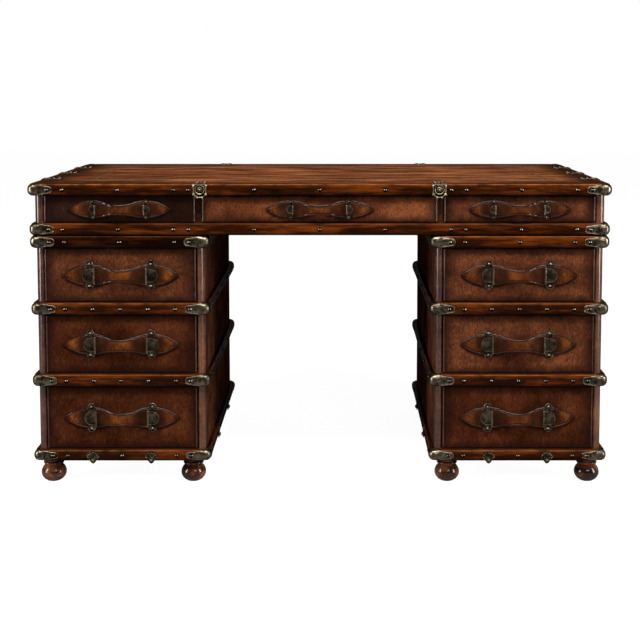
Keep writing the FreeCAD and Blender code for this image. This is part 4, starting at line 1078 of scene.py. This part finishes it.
# length, width of the lobe and of the waist, from fitting to fitting, width of a fitting
PEDESTAL_STRAP = [size * MM for size in (304, 56, 31, 160, 32)]
SIDE_STRAP = [size * MM for size in (267, 46, 25, 137, 17)]
CENTRE_STRAP = [size * MM for size in (284, 46, 25, 150, 17)]
FRONT_ROUND = 2.5 * MM
WELT_IN = 2.4 * MM
WELT_SIZE = 1.5 * MM
WELT_OUT = 0.9 * MM
WELT_ARC = np.degrees((-0.6, pi + 0.6))
WELT_STOP = 3 * MM
DARKER_EDGE_BAND = 30 * MM
STRAP_SHADOW_BELOW = 2 * MM
STRAP_SHADOW_REACH = 8 * MM


def strap_sizes(drawer):
    if "frieze" not in drawer:
        return PEDESTAL_STRAP
    return CENTRE_STRAP if "centre" in drawer else SIDE_STRAP


def ogee(away, run, rise):
    """A smooth fall from a rise at nought to nothing at the end of its run, by two equal arcs."""
    if away >= run:
        return 0.0
    bend = (run * run + rise * rise) / (4 * rise)
    if away > run / 2:
        return bend - sqrt(bend * bend - (run - away) ** 2)
    return rise - (bend - sqrt(bend * bend - away * away))


def strap_half(place, length, lobe, waist, span):
    """Half the strap's width at a place along it: a pointed lobe and a long sweep to the waist."""
    beyond = abs(place) - span / 2
    if beyond < 0:
        return lobe / 2 - ogee(abs(place), span / 2, (lobe - waist) / 2)
    tip = (length - span) / 2
    lancet = (tip * tip + lobe * lobe / 4) / lobe
    return lobe / 2 - (lancet - sqrt(max(lancet * lancet - beyond ** 2, 0)))


for number, (drawer, lot) in enumerate(DRAWERS.items()):
    low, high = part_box(f"{drawer}_front")
    stock = rounded_block(low, high, FRONT_ROUND, [0.005] * 3)
    x, y, z = stock.points.T
    shown = fade(y - low.y, 5 * MM)
    share_x = (x - low.x) / (high.x - low.x) * 2 - 1
    share_z = (z - low.z) / (high.z - low.z) * 2 - 1
    fall = 1 - (1 - share_x ** 6) * (1 - share_z ** 6)
    uneven = waves(stock.points, 0.1, 40 + number) + 1
    y += shown * (0.9 * fall + 0.15 * uneven) * MM
    from_side = np.minimum(x - low.x, high.x - x)
    from_rail = np.minimum(z - low.z, high.z - z)
    # the hide grows darker over a wide band towards its edges
    stock.wear_and_painted_light = fade(np.minimum(from_side / 1.6, from_rail), DARKER_EDGE_BAND)
    strap_low, strap_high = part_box(f"{drawer}_strap")
    middle = (strap_low + strap_high) / 2
    sizes = strap_sizes(drawer)[:4]
    # a painted shadow on the hide, just under the strap's lower edge
    for index, (across, deep, up) in enumerate(stock.points):
        place = across - middle.x
        if abs(place) < sizes[0] / 2:
            under = -strap_half(place, *sizes) - (up - middle.z)
            painted_shade = smooth_step(1 - abs(under - STRAP_SHADOW_BELOW) / STRAP_SHADOW_REACH)
            stock.wear_and_painted_light[index] = max(stock.wear_and_painted_light[index], painted_shade)
    add_piece(f"{drawer}_hide_front", [stock], front_hides[lot], drawer, "drawer_leather", f"{drawer}_front")
    welts = []
    for side in (low.x + WELT_IN, high.x - WELT_IN):
        bead = arc_points((side, 0), WELT_SIZE, *WELT_ARC, 11)
        welts.append(lofted([
            [(across, low.y + WELT_OUT - out, up) for across, out in bead]
            for up in np.linspace(low.z + WELT_STOP, high.z - WELT_STOP, 12)
        ]))
    add_piece(f"{drawer}_welts", welts, post_hide, drawer, "drawer_leather")

# ------------------------ drawer boxes
# Thin sides, back and bottom of plain wood.
box_wood = wood_finish(
    "box_wood", (0.13, 0.068, 0.034), (0.2, 0.11, 0.055), (0.27, 0.155, 0.08), (30.0, 2.5, 30.0), 0.5, 0.0,
)
for drawer in DRAWERS:
    show_node(f"{drawer}_box", box_wood)

# ------------------------ strap handles
# A thick harness-leather strap with pointed lobes that lie on the drawer, creased and sewn along
# their edge, and a narrow middle that bows out for the hand. Its cut edges are burnished black.
strap_hide = leather_finish(
    "strap_hide", (0.026, 0.007, 0.0026), (0.072, 0.02, 0.0054), (0.18, 0.054, 0.011),
    22.0, 0.46, 0.3, 0.9, edge=(0.014, 0.005, 0.003), polished_edge=True,
)
STRAP_THICK = 4 * MM
STRAP_BOW = 21.5 * MM
STRAP_SEAT = 0.3 * MM
CREASE_IN = 4.2 * MM
STRAP_TIPS = (0, 0.6, 1.6, 3.2, 5.5)
STRAP_SECTION = (
    # from the edge, depth as a share of the thickness, burnish
    (0.0, 0.06, 1.0), (-0.35, 0.35, 1.0), (-0.3, 0.65, 1.0), (0.3, 0.92, 1.0), (1.3, 1.04, 0.96),
    (2.2, 1.05, 0.5), (3.0, 0.94, 0.85), (3.6, 0.78, 1.0), (4.3, 0.78, 1.0), (5.0, 0.95, 0.6),
    (8.5, 1.07, 0.25),
)
STRAP_CREST = (0, 0, 1.1, 0)
STRAP_BACK = ((-0.5, 0, 0, 0.6), (0.5, 0, 0, 0.6))
# painted shade darkens the lobes from where the bow begins; they are darker again towards their tips
DARK_FROM, DARK_RISE = 8 * MM, 28 * MM
DARK_PAST, DARK_FALL = 50 * MM, 26 * MM
DARK_TIP, DARK_TIP_RISE = 26 * MM, 18 * MM


def strap(length, lobe, waist, span, plate, seed):
    """One strap, facing -Y about its own middle, and the thread along the edge of its lobes."""
    flat = span / 2 - plate / 2
    end = length / 2
    step = 0.5 * MM
    tips = [end - tip * MM for tip in STRAP_TIPS]
    places = [-tip for tip in tips] + list(np.linspace(8.5 * MM - end, end - 8.5 * MM, 83)) + tips[::-1]
    upper = np.array([(1, *row) for row in STRAP_SECTION])
    lower = upper[::-1] * (-1, 1, 1, 1)
    side, edge, depth, burnish = np.vstack([upper, STRAP_CREST, lower, STRAP_BACK]).T
    out = depth * STRAP_THICK
    rings = []
    marks = []
    lays = []
    for place in places:
        away = abs(place)
        half = max(strap_half(place, length, lobe, waist, span), 0.8 * MM)
        before, rise, after = [ogee(abs(at), flat, STRAP_BOW) for at in (place - step, place, place + step)]
        normal = Vector(((before - after) / (2 * step), -1.0)).normalized()
        height = side * (half - edge * MM * min(1.0, half / (10 * MM)))
        rings.append(np.column_stack([place + normal.x * out, normal.y * out - STRAP_SEAT - rise, height]))
        lays.append(np.column_stack([np.full(len(out), place), height, out]))
        # painted shade over the bow's flanks and the lobes, and darker again towards the tips
        shadow = smooth_step((away - DARK_FROM) / DARK_RISE)
        shadow *= smooth_step((span / 2 + DARK_PAST - away) / DARK_FALL)
        shadow = 0.85 * max(shadow, smooth_step((away - end + DARK_TIP) / DARK_TIP_RISE))
        marks.append(np.where(depth > 0, np.maximum(burnish, shadow), burnish))
    stock = lofted(rings, lays, marks)
    stock.points[:, 2] += 0.25 * MM * waves(stock.points, 0.09, seed)
    path = []
    for place in np.linspace(span / 2 + plate / 2 + 3 * MM, end - 14 * MM, 7):
        half = strap_half(place, length, lobe, waist, span)
        if half > 8 * MM:
            path.append((place, -STRAP_SEAT - STRAP_THICK * 0.97, half - CREASE_IN))
    sewn = []
    for signs in ((-1, 1, -1), (-1, 1, 1), (1, 1, -1), (1, 1, 1)):
        sewn += stitches(np.array(path) * signs, 5.2 * MM, 3.6 * MM, 0.9 * MM, Vector((0, -1, 0)))
    return stock, assembled(sewn)


def strap_place(drawer):
    """The middle of a strap on the face of its drawer."""
    low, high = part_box(f"{drawer}_strap")
    return put(((low.x + high.x) / 2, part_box(f"{drawer}_front")[0].y, (low.z + high.z) / 2))


strap_thread = thread_finish("strap_thread", (0.06, 0.026, 0.012))
for number, drawer in enumerate(DRAWERS):
    place = strap_place(drawer)
    stock, sewn = [piece.moved(place) for piece in strap(*strap_sizes(drawer), 70 + number)]
    add_piece(f"{drawer}_hide_strap", [stock], strap_hide, drawer, "strap_leather", f"{drawer}_strap")
    add_piece(f"{drawer}_strap_stitches", [sewn], strap_thread, drawer, "strap_leather")

# ------------------------ strap fittings
# Over each lobe a flat D-shaped keeper with a raised rim on an upright bar; above it a ring lug and
# below it a small lug, each held to the drawer with a round-headed rivet.
FITTING_FACE = 4.6 * MM
BAR_DEEP = 2.5 * MM
KEEPER_WEAR = (0.06, 0.5)


def lug_outline(wide, near, far, upward):
    """A lug's outline: square where it meets the keeper, round at its end."""
    half = wide / 2
    outline = [(-half, near), (half, near)] + arc_points((0, far - half), half, 0, 180, 15)
    if upward:
        return outline
    return [(across, -up) for across, up in reversed(outline)]


def fitting(tall, wide, lug_wide, lug_near, lug_up, lug_down, bar_half):
    """The right-hand fitting of a strap, facing -Y: its flat side is towards -X."""
    face = FITTING_FACE + BAR_DEEP
    radius = tall / 2
    flat = wide - radius
    corner = [(1.5 * MM - flat, radius), (0.4 * MM - flat, radius - 0.4 * MM), (-flat, radius - 1.5 * MM)]
    outline = arc_points((0, 0), radius, -90, 90, 19) + corner
    outline += [(across, -up) for across, up in reversed(corner)]
    plate = rimmed_plate(outline, 1.5 * MM, 1.0 * MM, 1.3 * MM).moved(put((0, -face, 0)))
    plate.wear_and_painted_light = KEEPER_WEAR[0] + KEEPER_WEAR[1] * plate.wear_and_painted_light
    bar = rounded_block((-flat, -face - 3.4 * MM, -radius - lug_wide * 0.35),
                        (-flat + 2 * bar_half, -face + 1.0 * MM, radius + lug_wide * 0.1), 1.0 * MM,
                        (0.004, 0.004, 0.006))
    bar.wear_and_painted_light[:] = 0.3
    bridge = rounded_block((-lug_wide * 0.45, -face - 0.3 * MM, -lug_near - 2 * MM),
                           (lug_wide * 0.45, -FITTING_FACE, lug_near + 2 * MM), 0.8 * MM,
                           (0.005, 0.005, 0.006))
    pieces = [plate, bar, bridge]
    size = lug_wide * 0.15 / MM
    head = ((0.1, -1.0), (size, -1.0), (size, 0.3), (size * 0.85, 1.0), (size * 0.55, 1.5), (0.1, 1.7))
    rivet = turned(head, 16, (0, 0, 0.2, 0.5, 0.8, 0.8))
    for far, upward in ((lug_up, True), (lug_down, False)):
        outline = lug_outline(lug_wide, lug_near, far, upward)
        lug = rimmed_plate(outline, face - 0.6 * MM, 1.1 * MM, lug_wide * 0.085)
        lug.wear_and_painted_light *= 0.35
        level = (far - lug_wide / 2) * (1 if upward else -1)
        pieces += [lug, rivet.moved(put((0, -face + 0.4 * MM, level)), TIP_FORWARD)]
    return assembled(pieces)


fitting_brass = brass_finish(
    "fitting_brass", (0.013, 0.0098, 0.0064), (0.11, 0.084, 0.055), (0.52, 0.41, 0.28), 0.25,
)
pedestal_fitting = fitting(*[size * MM for size in (36, 32, 19, 28.8, 40, 37, 1.9)])
frieze_fitting = fitting(*[size * MM for size in (21, 17, 10, 20.0, 25.5, 25, 1.4)])
for drawer in DRAWERS:
    one = frieze_fitting if "frieze" in drawer else pedestal_fitting
    half_span = strap_sizes(drawer)[3] / 2
    place = strap_place(drawer)
    pair = [one.moved(place @ put((sign * half_span, 0, 0), sign)) for sign in (-1, 1)]
    add_piece(f"{drawer}_brass_fittings", pair, fitting_brass, drawer, "aged_brass", f"{drawer}_fittings")
